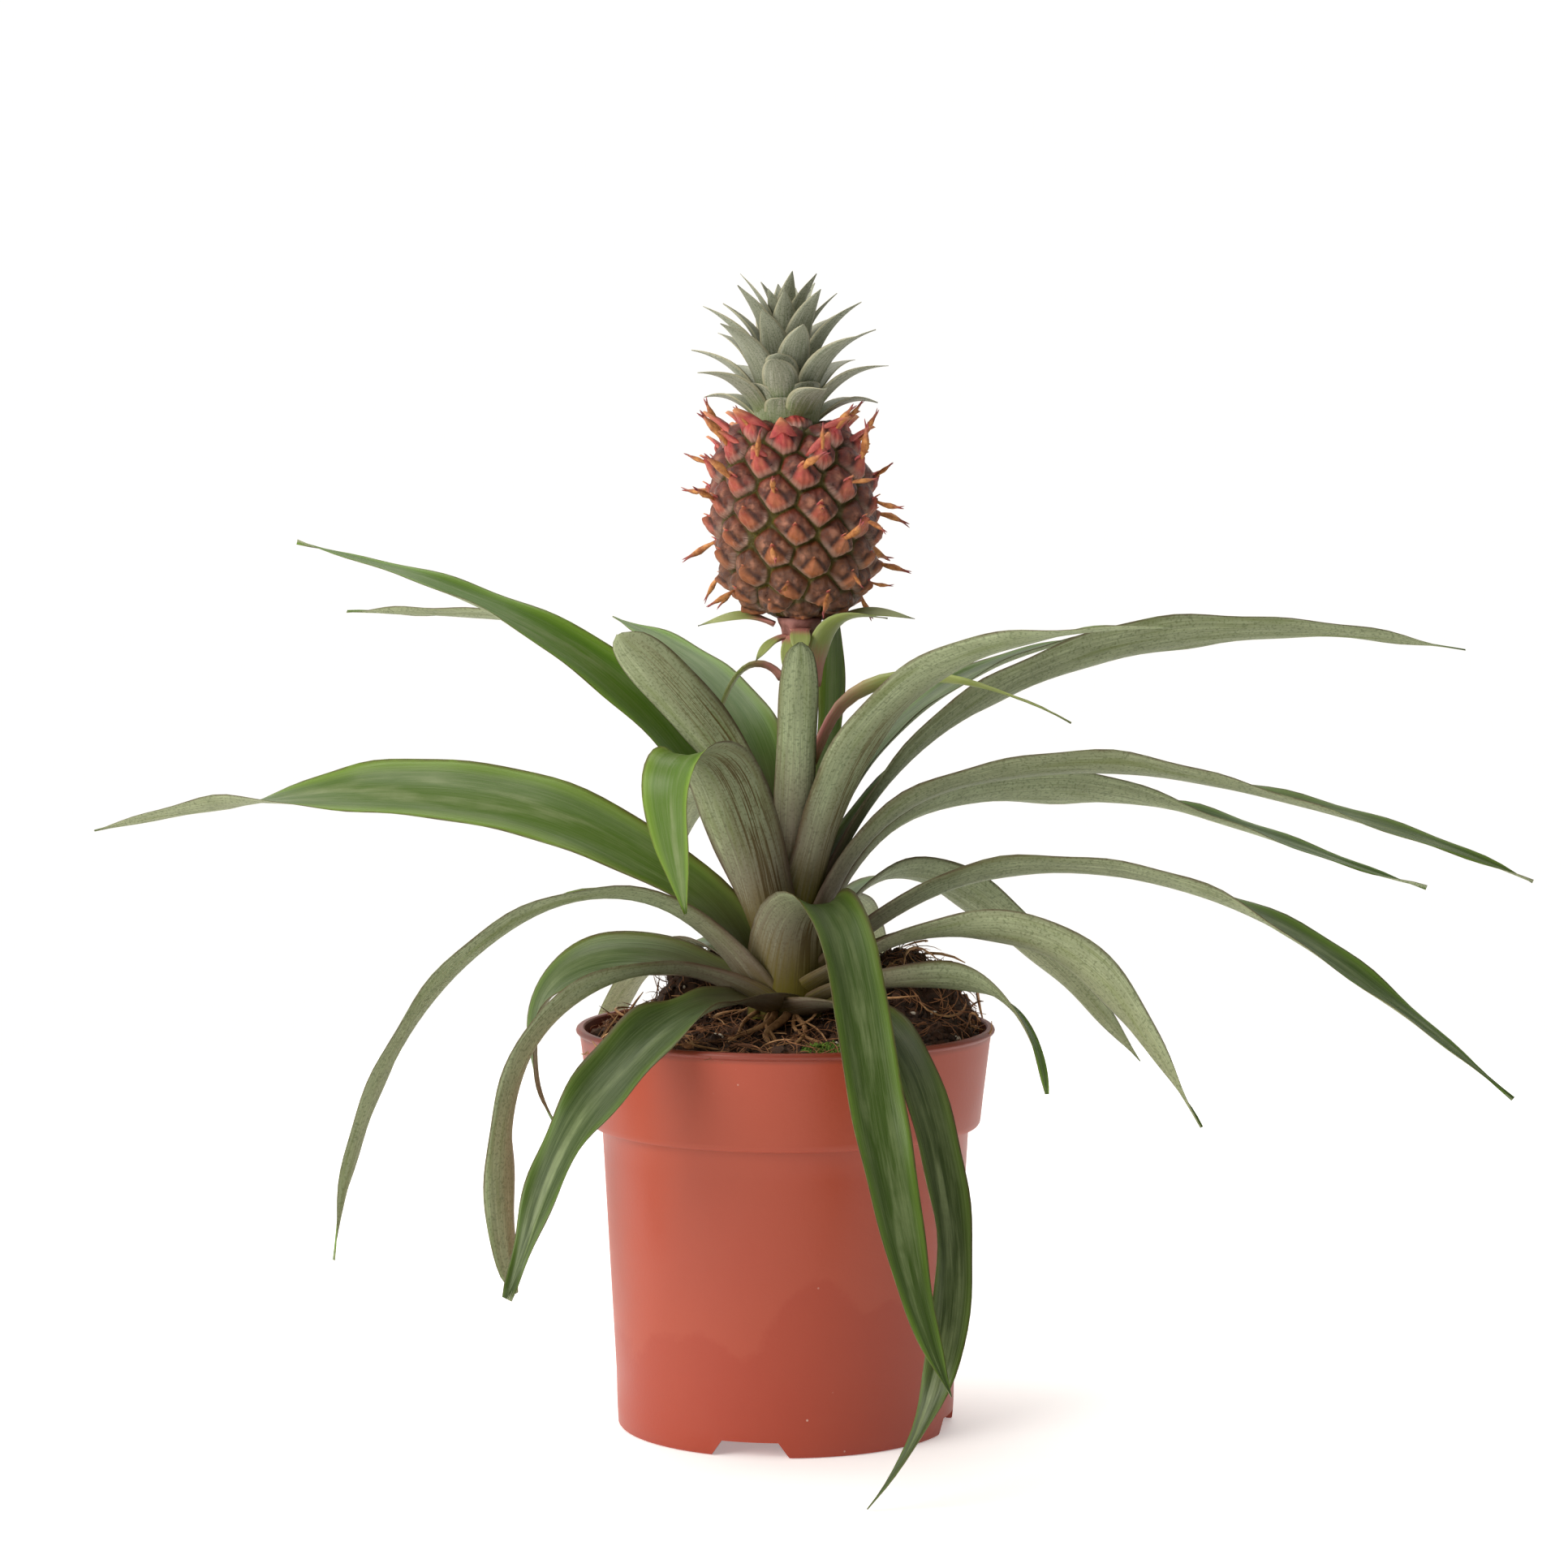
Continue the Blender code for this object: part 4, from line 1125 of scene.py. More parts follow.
@dataclass
class Strewn:
    """Scatters small shapes over a surface with a node tree that is built here."""

    name: str
    shape: bpy.types.Object
    material: bpy.types.Material
    per_m2: float
    seed: int
    small: float = 0.5
    large: float = 1.4
    tilt: float = 0.4
    sink: float = 0.0

    def build(self, ground: bpy.types.Object) -> bpy.types.Object:
        """Strews the shape over a copy of the ground.

        Args:
            ground: Surface that the pieces lie on.

        Returns:
            One plain mesh of all the pieces.
        """
        tree, given = geometry_tree(self.name, {
            "Ground": "Geometry", "Per Square Metre": "Float", "Smallest": "Float", "Largest": "Float",
            "Tilt": "Float", "Sink": "Float", "Seed": "Int"})
        spots = add(tree, "GeometryNodeDistributePointsOnFaces", {
            "Mesh": given["Ground"], "Density": given["Per Square Metre"], "Seed": given["Seed"]})
        turn = add(tree, "FunctionNodeRandomValue", {"Max": (0.0, 0.0, FULL_TURN), "Seed": given["Seed"]},
                   data_type="FLOAT_VECTOR")
        lean = add(tree, "FunctionNodeRandomValue", {"Min": (-1.0, -1.0, 0.0), "Max": (1.0, 1.0, 0.0), "Seed": 7},
                   data_type="FLOAT_VECTOR")
        lean = add(tree, "ShaderNodeVectorMath", {0: lean.outputs["Value"], "Scale": given["Tilt"]}, operation="SCALE")
        angle = add(tree, "ShaderNodeVectorMath", {0: turn.outputs["Value"], 1: lean.outputs[0]}, operation="ADD")
        spin = add(tree, "FunctionNodeRotateRotation", {0: spots.outputs["Rotation"], 1: angle.outputs[0]},
                   rotation_space="LOCAL")
        size = add(tree, "FunctionNodeRandomValue", {"Min": given["Smallest"], "Max": given["Largest"], "Seed": 3},
                   data_type="FLOAT")
        shape = add(tree, "GeometryNodeObjectInfo", {0: self.shape}, transform_space="ORIGINAL")
        laid = add(tree, "GeometryNodeInstanceOnPoints", {
            "Points": spots.outputs["Points"], "Instance": shape.outputs["Geometry"],
            "Rotation": spin.outputs[0], "Scale": size.outputs["Value"]})
        down = add(tree, "ShaderNodeCombineXYZ", {2: given["Sink"]})
        down = add(tree, "ShaderNodeVectorMath", {0: down.outputs[0], "Scale": -1.0}, operation="SCALE")
        moved = add(tree, "GeometryNodeTranslateInstances", {
            "Instances": laid.outputs[0], "Translation": down.outputs[0], "Local Space": True})
        holder = bpy.data.objects.new(self.name, ground.data.copy())
        bpy.context.scene.collection.objects.link(holder)
        piece = run_tree(tree, moved.outputs[0], holder, self.material, {
            "Per Square Metre": self.per_m2, "Smallest": self.small, "Largest": self.large,
            "Tilt": self.tilt, "Sink": self.sink, "Seed": self.seed})
        piece.data.materials.clear()
        piece.data.materials.append(self.material)
        return piece


def crumb(name: str, size: float, seed: int, material: bpy.types.Material) -> bpy.types.Object:
    """Makes a small uneven lump to strew.

    Args:
        name: Object name.
        size: Its radius.
        seed: Which lump it is.
        material: Its finish.

    Returns:
        The shape, not linked to the scene.
    """
    bm = bmesh.new()
    bmesh.ops.create_icosphere(bm, subdivisions=1, radius=size)
    for v in bm.verts:
        v.co *= 0.75 + 0.5 * noise.noise(v.co * 900 + Vector((seed, 0, 0)))
        v.co.z *= 0.7
    mesh = bpy.data.meshes.new(name)
    bm.to_mesh(mesh)
    bm.free()
    mesh.materials.append(material)
    return bpy.data.objects.new(name, mesh)


def strand(name: str, length: float, radius: float, bend: float, material: bpy.types.Material,
           sides: int = 4, steps: int = 7) -> bpy.types.Object:
    """A curved fibre, lying along X, used as a shape to strew.

    Args:
        name: Object name.
        length: End to end along the fibre.
        radius: Half its thickness.
        bend: How far it curls, in degrees.
        material: Its finish.
        sides: Faces round it.
        steps: Rings along it.

    Returns:
        The shape, not linked to the scene.
    """
    rings = []
    pos, ang = np.array([-0.5 * length, 0.0, 0.0]), -0.5 * bend
    for i in range(steps):
        f = i / (steps - 1)
        a = math.radians(ang + bend * f)
        d = np.array([math.cos(a), math.sin(a), 0.35 * math.sin(3.1 * f)])
        d /= np.linalg.norm(d)
        s, u = np.cross(d, (0, 0, 1.0)), np.array([0, 0, 1.0])
        r = radius * (1 - 0.7 * abs(2 * f - 1) ** 2)
        rings.append(np.array([pos + r * (math.cos(q) * s + math.sin(q) * u)
                               for q in turns(sides)]))
        pos = pos + d * length / (steps - 1)
    verts, faces = ring_skin(rings)
    mesh = bpy.data.meshes.new(name)
    mesh.from_pydata(verts.tolist(), [], faces)
    mesh.materials.append(material)
    face_outwards(mesh)
    return bpy.data.objects.new(name, mesh)


@dataclass
class RootBall:
    """Peat and coir soil with its loose crumbs, fibres, roots, perlite and a patch of moss."""

    around: int = 180
    rings: int = 64
    top_r: float = 0.0556
    crust_z: float = 0.108
    crust_r: float = 0.0548
    moss_at: tuple[float, float] = (0.012, -0.042)
    moss_r: float = 0.0075
    # heading in degrees, reach and thickness of each thick root
    roots: Sequence[tuple[float, float, float]] = (
        (246, 0.022, 0.0011), (256, 0.026, 0.0008), (266, 0.021, 0.0014),
        (277, 0.029, 0.0009), (286, 0.024, 0.0007), (231, 0.024, 0.0008))
    root_rings: int = 14
    root_from_r: float = 0.0105
    root_from_z: float = 0.1195

    def ground(self, material: bpy.types.Material) -> bpy.types.Object:
        """Makes the soil body: a rough crust over a plain plug that fills the pot.

        Args:
            material: Its finish.

        Returns:
            The soil body.
        """
        angles = turns(self.around)
        rings = [circle(0.0400, 0.0068, self.around), circle(0.0460, 0.0075, self.around),
                 circle(0.0508, 0.0862, self.around), circle(0.0541, 0.0907, self.around)]
        for i in range(self.rings):
            r = self.top_r * (1 - i / self.rings)
            ring = []
            for a in angles:
                x, y = r * math.cos(a), r * math.sin(a)
                z = soil_height(x, y)
                p = Vector((x, y, z))
                fade = smooth(self.top_r - r, 0.0, 0.003)
                steep = 0.0012 * noise.noise(p * 160) + 0.0013 * noise.noise(p * 420) + 0.0008 * noise.noise(p * 1100)
                ring.append((x, y, z - 0.0004 + steep * fade))
            rings.append(np.array(ring))
        verts, faces = ring_skin(rings)
        return mesh_object("soil_plug", verts, faces, material)

    def old_roots(self, material: bpy.types.Material) -> bpy.types.Object:
        """Makes thick roots that leave the foot of the shoot and dive into the soil in front of it.

        Args:
            material: Their finish.

        Returns:
            All of them as one object.
        """
        parts = []
        for heading, reach, thick in self.roots:
            rings = []
            for i in range(self.root_rings):
                f = i / (self.root_rings - 1)
                a = math.radians(heading + 9 * math.sin(4 * f + heading))
                r = self.root_from_r + reach * f
                x, y = r * math.cos(a), r * math.sin(a)
                # a root either lies on the soil or comes down to it from the shoot
                slope = self.root_from_z - 0.30 * (r - self.root_from_r)
                z = max(soil_height(x, y) + 0.0010 * math.sin(7 * f + heading), slope)
                z -= 0.0030 * smooth(f, 0.85, 1.0)
                turn = turns(8)
                w = thick * (1 - 0.5 * f)
                rings.append(np.stack([x + w * np.cos(turn) * math.sin(a), y - w * np.cos(turn) * math.cos(a),
                                       z + w * np.sin(turn)], 1))
            verts, faces = ring_skin(rings)
            parts.append(mesh_object("root_part", verts, faces, material))
        return joined(parts, "soil_old_roots")

    def build(self, soil: bpy.types.Material, fibre: bpy.types.Material, root: bpy.types.Material,
              perlite: bpy.types.Material, moss: bpy.types.Material) -> None:
        """Builds the soil and everything that lies on it.

        Args:
            soil: Finish of the peat.
            fibre: Finish of the coir.
            root: Finish of the pale roots.
            perlite: Finish of the white grains.
            moss: Finish of the moss.
        """
        ground = self.ground(soil)
        top = cut_from(ground.data, "soil_top", lambda c: c.z > self.crust_z and c.xy.length < self.crust_r)
        place(ground, Slot.SOIL, "soil")
        loads = (
            ("soil_crumbs", crumb("crumb", 0.0011, 1, soil), soil, 330000.0, 4, 0.4, 1.5, 1.0, -0.0002),
            ("soil_clods", crumb("clod", 0.0026, 5, soil), soil, 30000.0, 9, 0.5, 1.5, 1.0, 0.0000),
            ("soil_bark", crumb("bark", 0.0028, 8, fibre), fibre, 3600.0, 15, 0.4, 1.3, 1.2, 0.0004),
            ("soil_fibres", strand("fibre", 0.0120, 0.00016, 95, fibre), fibre, 85000.0, 11, 0.4, 1.3, 0.55, -0.0005),
            ("soil_roots", strand("root", 0.0170, 0.00040, 130, root), root, 5200.0, 23, 0.5, 1.4, 0.50, -0.0008),
            ("soil_perlite", crumb("perlite", 0.0011, 3, perlite), perlite, 3800.0, 31, 0.6, 1.3, 1.0, -0.0005),
        )
        for name, shape, material, density, seed, small, large, tilt, sink in loads:
            piece = Strewn(name, shape, material, density, seed, small, large, tilt, sink).build(top)
            place(piece, Slot.SOIL)
            bpy.data.objects.remove(shape)
        place(self.old_roots(root), Slot.SOIL)
        holder = cut_from(top.data, "moss_bed", lambda c: (c.xy - Vector(self.moss_at)).length <= self.moss_r)
        sprig = strand("sprig", 0.0030, 0.00022, 60, moss)
        piece = Strewn("moss_sprigs", sprig, moss, 2600000.0, 41, 0.5, 1.2, 1.2, -0.0004).build(holder)
        place(piece, Slot.SOIL)
        for spare in (sprig, holder, top):
            bpy.data.objects.remove(spare)


@dataclass
class Stalk:
    """The shoot: a short thick stem in the soil that thins to the fruit's stalk."""

    sides: int = 28
    length: float = 0.1311
    scars: Sequence[float] = (0.176, 0.187, 0.1935, 0.204, 0.212, 0.2195)

    def build(self, material: bpy.types.Material) -> bpy.types.Object:
        """Skins the shoot, with low ridges where bracts have dried off.

        Args:
            material: Its finish.

        Returns:
            The shoot.
        """
        rings = []
        for i in range(96):
            z = STEM_LOW_Z + self.length * i / 95
            r = min(stem_radius(z), 0.0052 if z > 0.19 else 0.02) + 0.0012 * smooth(z, 0.2275, 0.2314)
            scar = sum(math.exp(-((z - n) / 0.0007) ** 2) for n in self.scars)
            a = turns(self.sides)
            rad = r + 0.0004 * scar + 0.00018 * np.sin(7 * a + 40 * z)
            rings.append(np.stack([axis_x(z) + rad * np.cos(a), rad * np.sin(a), np.full(self.sides, z)], 1))
        verts, faces = ring_skin(rings)
        obj = mesh_object("stalk", verts, faces, material)
        place(obj, Slot.STEM, "stem")
        return obj


# ---- fruit and crown -------------------------------------------------------------------------
@dataclass
class Fruit:
    """Small pineapple: eyes on a golden-angle spiral, each with its bract and most with a dried flower."""

    low_z: float = 0.2318
    top_z: float = 0.2880
    eyes: int = 80
    eye_r: float = 0.0052
    swell_h: float = 0.0021
    seam_h: float = 0.0010
    flap_h: float = 0.0019
    seam_w: float = 0.00125
    shoulder_w: float = 0.0028
    dome_r: float = 0.0074
    least_r: float = 0.009
    bare: float = 0.26
    around: int = 330
    up: int = 232
    profile: Sequence[tuple[float, float]] = (
        (0.000, 0.0050), (0.020, 0.0105), (0.060, 0.0150), (0.130, 0.0186), (0.250, 0.0210), (0.420, 0.0223),
        (0.580, 0.0225), (0.730, 0.0216), (0.850, 0.0196), (0.930, 0.0170), (0.975, 0.0128), (1.000, 0.0050))

    def radius(self, f: float) -> float:
        """Radius of the smooth body at fraction f of its height."""
        return float(np.interp(f, [a for a, _ in self.profile], [r for _, r in self.profile]))

    def layout(self) -> tuple[np.ndarray, np.ndarray, np.ndarray, np.ndarray, np.ndarray]:
        """Spreads the eyes so that each takes the same area.

        Returns:
            Sample heights, the radius and the way up the skin at each, and each eye's height and angle.
        """
        fr = np.linspace(0, 1, 800)
        rad = np.array([self.radius(f) for f in fr])
        rad = np.convolve(np.pad(rad, 20, mode="edge"), np.ones(41) / 41, mode="valid")
        seg = np.hypot(np.diff(rad), np.diff(fr) * (self.top_z - self.low_z))
        area = np.r_[0, np.cumsum(seg * math.pi * (rad[1:] + rad[:-1]))]
        way = np.r_[0, np.cumsum(seg)]
        k = np.arange(self.eyes)
        rng = np.random.default_rng(5)
        eye_f = np.interp((k + 0.5) / self.eyes * area[-1], area, fr) + rng.normal(0, 0.010, self.eyes)
        return fr, rad, way, np.clip(eye_f, 0.004, 0.996), np.radians(GOLDEN * k) + rng.normal(0, 0.035, self.eyes)

    def build(self, skin: bpy.types.Material, dried: bpy.types.Material, tissue: bpy.types.Material) -> None:
        """Builds the skin with its raised eyes, the bract tips and the dried flowers.

        Args:
            skin: Finish of the eyes.
            dried: Finish of the flowers.
            tissue: Finish of the free bract tips.
        """
        fr, rad, way, eye_f, eye_a = self.layout()
        rows = np.interp(np.linspace(0, way[-1], self.up), way, fr)
        angles = turns(self.around)
        eye_way = np.interp(eye_f, fr, way)
        verts, eye_marks, ripe_marks, painted_light_marks = [], [], [], []
        for f in rows:
            r = float(np.interp(f, fr, rad))
            s = float(np.interp(f, fr, way))
            z = self.low_z + f * (self.top_z - self.low_z)
            slope_r = (np.interp(min(f + 0.01, 1), fr, rad) - np.interp(max(f - 0.01, 0), fr, rad))
            slope_z = (min(f + 0.01, 1) - max(f - 0.01, 0)) * (self.top_z - self.low_z)
            q = math.hypot(slope_r, slope_z)
            nr, nz = slope_z / q, -slope_r / q
            du = (angles[:, None] - eye_a[None, :] + math.pi) % (2 * math.pi) - math.pi
            du = du * max(r, 0.006)
            dv = s - eye_way[None, :]
            dist = np.hypot(du, dv * 1.06)
            order = np.argsort(dist, axis=1)
            one, two = order[:, 0], order[:, 1]
            pick = np.arange(self.around)
            u, v = du[pick, one] / self.eye_r, np.broadcast_to(dv, du.shape)[pick, one] / self.eye_r
            gap = dist[pick, two] - dist[pick, one]
            lone = np.clip((0.0069 - dist[pick, one]) / 0.0015, 0, 1)
            seam, apart = np.exp(-(gap / self.seam_w) ** 2), np.clip(gap / 0.004, 0, 1) * lone
            swell = (1 - np.exp(-(gap / self.shoulder_w) ** 1.2)) * (0.50 + 0.50 * lone)
            dome = np.clip(1 - (dist[pick, one] / self.dome_r) ** 2, 0, 1)
            size = min(1.0, r / 0.019)
            own = np.sin(one * 12.9 + 1.0)
            # the bract: a keeled flap that widens downwards from its free tip at the eye's middle
            wide = 0.10 + 0.80 * np.clip((0.20 - v) / 1.15, 0, 1) ** 0.85
            flap = np.clip(1 - np.abs(u) / wide, 0, 1) ** 0.7 * (v < 0.26) * np.clip((v + 1.15) / 0.45, 0, 1)
            crest = np.clip((v + 1.00) / 1.0, 0, 1) ** 1.2 * np.clip((0.28 - v) / 0.16, 0, 1)
            cleft = 0.00045 * np.exp(-(u / 0.14) ** 2) * np.clip((v - 0.15) / 0.5, 0, 1)
            fray = 0.00020 * np.sin(u * 21 + one * 7) * np.clip(0.2 - v, 0, 1)
            high = self.swell_h * swell * (0.35 + 0.65 * dome) * (1 + 0.16 * own) - self.seam_h * seam
            high = high + (self.flap_h + 0.0003 * own) * flap * crest * size - cleft + fray
            high = high * (0.35 + 0.65 * size) - 0.0006
            for j in range(self.around):
                spot = Vector((r * math.cos(angles[j]), r * math.sin(angles[j]), z))
                crumple = 0.00045 * noise.noise(spot * 420) + 0.00022 * noise.noise(spot * 1100)
                rr, zz = r + (high[j] + crumple) * nr, z + (high[j] + crumple) * nz
                verts.append((axis_x(z) + rr * math.cos(angles[j]), rr * math.sin(angles[j]), zz))
            # painted light: a highlight on each cheek of the eye, and shade in the fold beside the bract
            cheek_highlight = np.exp(-(((np.abs(u) - 0.46) / 0.24) ** 2 + ((v - 0.26) / 0.26) ** 2))
            # painted shade: a dark line along each side of the bract, where the fold lies in shadow
            fold_shade = np.exp(-((np.abs(u) - wide - 0.08) / 0.11) ** 2) * (v < 0.15) * np.clip((v + 1.0) / 0.5, 0, 1)
            painted_light_marks += list(zip(cheek_highlight, fold_shade, np.zeros(self.around)))
            eye_marks += list(zip(u, v, apart))
            ripe_marks += list(zip(np.full(self.around, f), np.clip(flap * 1.6, 0, 1) * np.clip(crest + 0.5, 0, 1),
                                   (one * 0.37) % 1.0))
        rings = np.array(verts).reshape(self.up, self.around, 3)
        points, faces = ring_skin(list(rings))
        # the two points that close the ends come last
        pad = [(0, 0, 0), (0, 0, 0)]
        obj = mesh_object("fruit_skin", points, faces, skin, {
            "wax": np.array(painted_light_marks + pad), "eye": np.array(eye_marks + pad),
            "ripe": np.array(ripe_marks + [(0, 0, 0), (1, 0, 0)])})
        place(obj, Slot.FRUIT, "fruit")
        self.flowers(fr, rad, eye_f, eye_a, dried, tissue)

    def flowers(self, fr: np.ndarray, rad: np.ndarray, eye_f: np.ndarray, eye_a: np.ndarray,
                dried: bpy.types.Material, tissue: bpy.types.Material) -> None:
        """Stands a free bract tip on every eye and a dried flower on most.

        Args:
            fr: Sample fractions of the height.
            rad: Radius at each.
            eye_f: Fraction of each eye.
            eye_a: Angle of each eye.
            dried: Finish of the flowers.
            tissue: Finish of the bract tips.
        """
        rng = np.random.default_rng(12)
        # a tip on every eye; a flower on all but the lowest and the share that stays bare
        spots, aims, sizes, tips, tip_aims, tip_sizes = [], [], [], [], [], []
        for f, a in zip(eye_f, eye_a):
            r = float(np.interp(f, fr, rad))
            # no tip fits where the fruit closes, at its foot and its top
            if r < self.least_r:
                continue
            z = self.low_z + f * (self.top_z - self.low_z)
            out = np.array([math.cos(a), math.sin(a), 0.0])
            lift = float(np.interp(f, (0.0, 0.35, 0.6, 0.8, 1.0), (-1.0, -0.50, 0.05, 0.80, 1.9)))
            base = np.array([axis_x(z), 0, z]) + out * (r + 0.0014)
            tips.append(base + np.array([0, 0, 0.0004]))
            tip_aims.append(out * 0.55 + np.array([0, 0, 0.95]) + rng.normal(0, 0.08, 3))
            grown = float(np.interp(f, (0.2, 0.6, 0.76, 0.92), (0.6, 0.9, 1.6, 2.9)))
            tip_sizes.append(grown * rng.uniform(0.85, 1.15))
            if f < 0.10 or rng.random() < self.bare:
                continue
            wander = rng.normal(0, 0.34, 3)
            aim = out + np.array([0, 0, lift]) + wander
            spots.append(base + out * 0.0006)
            aims.append(aim / np.linalg.norm(aim))
            sizes.append(rng.uniform(0.70, 1.20) * (1.0 if f > 0.3 else 0.8))
        for part, bend in enumerate((0.0010, 0.0032)):
            flower = self.flower_shape(dried, bend)
            piece = self.stand("fruit_dried_flowers_%d" % part, flower, dried, spots[part::2], aims[part::2],
                               sizes[part::2], 3 + part)
            place(piece, Slot.FRUIT)
            bpy.data.objects.remove(flower)
        tip = self.tip_shape(tissue)
        piece = self.stand("fruit_bract_tips", tip, tissue, tips, tip_aims, tip_sizes, 0)
        place(piece, Slot.FRUIT)
        bpy.data.objects.remove(tip)

    @staticmethod
    def flower_shape(material: bpy.types.Material, bend: float) -> bpy.types.Object:
        """Makes a spindle of shrivelled petals, 10 mm long along Z, that ends in two curled prongs.

        Args:
            material: Its finish.
            bend: How far its end leans sideways, in metres.

        Returns:
            The flower, not linked to the scene.
        """
        verts: list[np.ndarray] = []
        faces: list[tuple[int, ...]] = []
        marks: list[tuple[float, float, float]] = []
        body = ((0.0, 0.40), (0.12, 0.42), (0.30, 0.66), (0.48, 0.86), (0.64, 0.66), (0.76, 0.40), (0.86, 0.34))
        prongs = [(0.0, body, 6)]
        for sign in (-1, 1):
            prongs.append((sign, ((0.78, 0.30), (0.88, 0.26), (0.96, 0.20), (1.03, 0.06)), 4))
        for sign, rows, sides in prongs:
            rings = []
            for way, r in rows:
                z = way * 0.0104
                x = sign * max(way - 0.76, 0) * 0.0022 + bend * way * way
                a = turns(sides)
                rad = r * 0.0011 * (1.22 + 0.26 * np.cos(3 * a + 5 * way))
                rings.append(np.stack([x + rad * np.cos(a), 0.8 * rad * np.sin(a), np.full(sides, z)], 1))
                marks += [(0.0, way, 0.0)] * sides
            v, f = ring_skin(rings)
            marks += [(0.0, rows[0][0], 0.0), (0.0, rows[-1][0], 0.0)]
            faces += [tuple(len(verts) + i for i in q) for q in f]
            verts += list(v)
        obj = mesh_object("flower", np.array(verts), faces, material, {"blade": np.array(marks)})
        bpy.context.scene.collection.objects.unlink(obj)
        return obj

    @staticmethod
    def tip_shape(material: bpy.types.Material) -> bpy.types.Object:
        """Makes a short pointed flap, 3.4 mm long along Z, curled away from the fruit.

        Args:
            material: Its finish.

        Returns:
            The flap, not linked to the scene.
        """
        rows, verts, marks = 6, [], []
        for i in range(rows):
            f = i / (rows - 1)
            w = 0.0015 * (1 - f) ** 0.8 + 0.00012
            for u in (-1, -0.4, 0.4, 1):
                verts.append((0.0012 * f * f - 0.0004 * u * u * (1 - f), u * w, 0.0034 * f - 0.0010))
                marks.append((u, f, 0.0))
        back = [(x - 0.0004, y * 0.9, z) for x, y, z in verts]
        n = len(verts)
        faces: list[tuple[int, ...]] = []
        for i in range(rows - 1):
            for j in range(3):
                a, b, c, d = i * 4 + j, i * 4 + j + 1, i * 4 + j + 5, i * 4 + j + 4
                faces += [(a, b, c, d), (n + a, n + d, n + c, n + b)]
            for j, flip in ((0, True), (3, False)):
                quad = (i * 4 + j, n + i * 4 + j, n + i * 4 + j + 4, i * 4 + j + 4)
                faces.append(quad[::-1] if flip else quad)
        for i, flip in ((0, False), (rows - 1, True)):
            for j in range(3):
                quad = (i * 4 + j, n + i * 4 + j, n + i * 4 + j + 1, i * 4 + j + 1)
                faces.append(quad[::-1] if flip else quad)
        obj = mesh_object("tip", np.array(verts + back), faces, material, {"blade": np.array(marks * 2)})
        face_outwards(obj.data)
        bpy.context.scene.collection.objects.unlink(obj)
        return obj

    @staticmethod
    def stand(name: str, shape: bpy.types.Object, material: bpy.types.Material, spots: Sequence[np.ndarray],
              aims: Sequence[np.ndarray], sizes: Sequence[float], seed: int) -> bpy.types.Object:
        """Stands one shape on each spot with a node tree.

        Args:
            name: Name of the finished piece.
            shape: What to stand, along its Z.
            material: Its finish.
            spots: Places.
            aims: Direction that each one's Z takes.
            sizes: Size of each.
            seed: Seed of the turn about Z; 0 keeps every one facing outwards.

        Returns:
            One plain mesh.
        """
        tree, given = geometry_tree(name, {"Spots": "Geometry", "Turn": "Float", "Seed": "Int"})
        aim, out, size = (add(tree, "GeometryNodeInputNamedAttribute", {"Name": mark}, data_type="FLOAT_VECTOR")
                          for mark in ("aim", "out", "size"))
        rot = add(tree, "FunctionNodeAlignRotationToVector", {"Vector": aim.outputs[0]}, axis="Z")
        rot = add(tree, "FunctionNodeAlignRotationToVector", {"Rotation": rot.outputs[0], "Vector": out.outputs[0]},
                  axis="X", pivot_axis="Z")
        turn = add(tree, "FunctionNodeRandomValue", {"Max": given["Turn"], "Seed": given["Seed"]}, data_type="FLOAT")
        about = add(tree, "ShaderNodeCombineXYZ", {2: turn.outputs["Value"]})
        rot = add(tree, "FunctionNodeRotateRotation", {0: rot.outputs[0], 1: about.outputs[0]}, rotation_space="LOCAL")
        item = add(tree, "GeometryNodeObjectInfo", {0: shape}, transform_space="ORIGINAL")
        laid = add(tree, "GeometryNodeInstanceOnPoints", {
            "Points": given["Spots"], "Instance": item.outputs["Geometry"], "Rotation": rot.outputs[0],
            "Scale": size.outputs[0]})
        outward = [np.array([p[0], p[1], 0.0]) for p in spots]
        holder = mesh_object(name, np.array(spots), [], material, {
            "aim": np.array(aims), "out": np.array(outward), "size": np.array([[s, s, s] for s in sizes])})
        piece = run_tree(tree, laid.outputs[0], holder, material, {
            "Turn": FULL_TURN if seed else 0.0, "Seed": seed})
        piece.data.polygons.foreach_set("use_smooth", [True] * len(piece.data.polygons))
        return piece


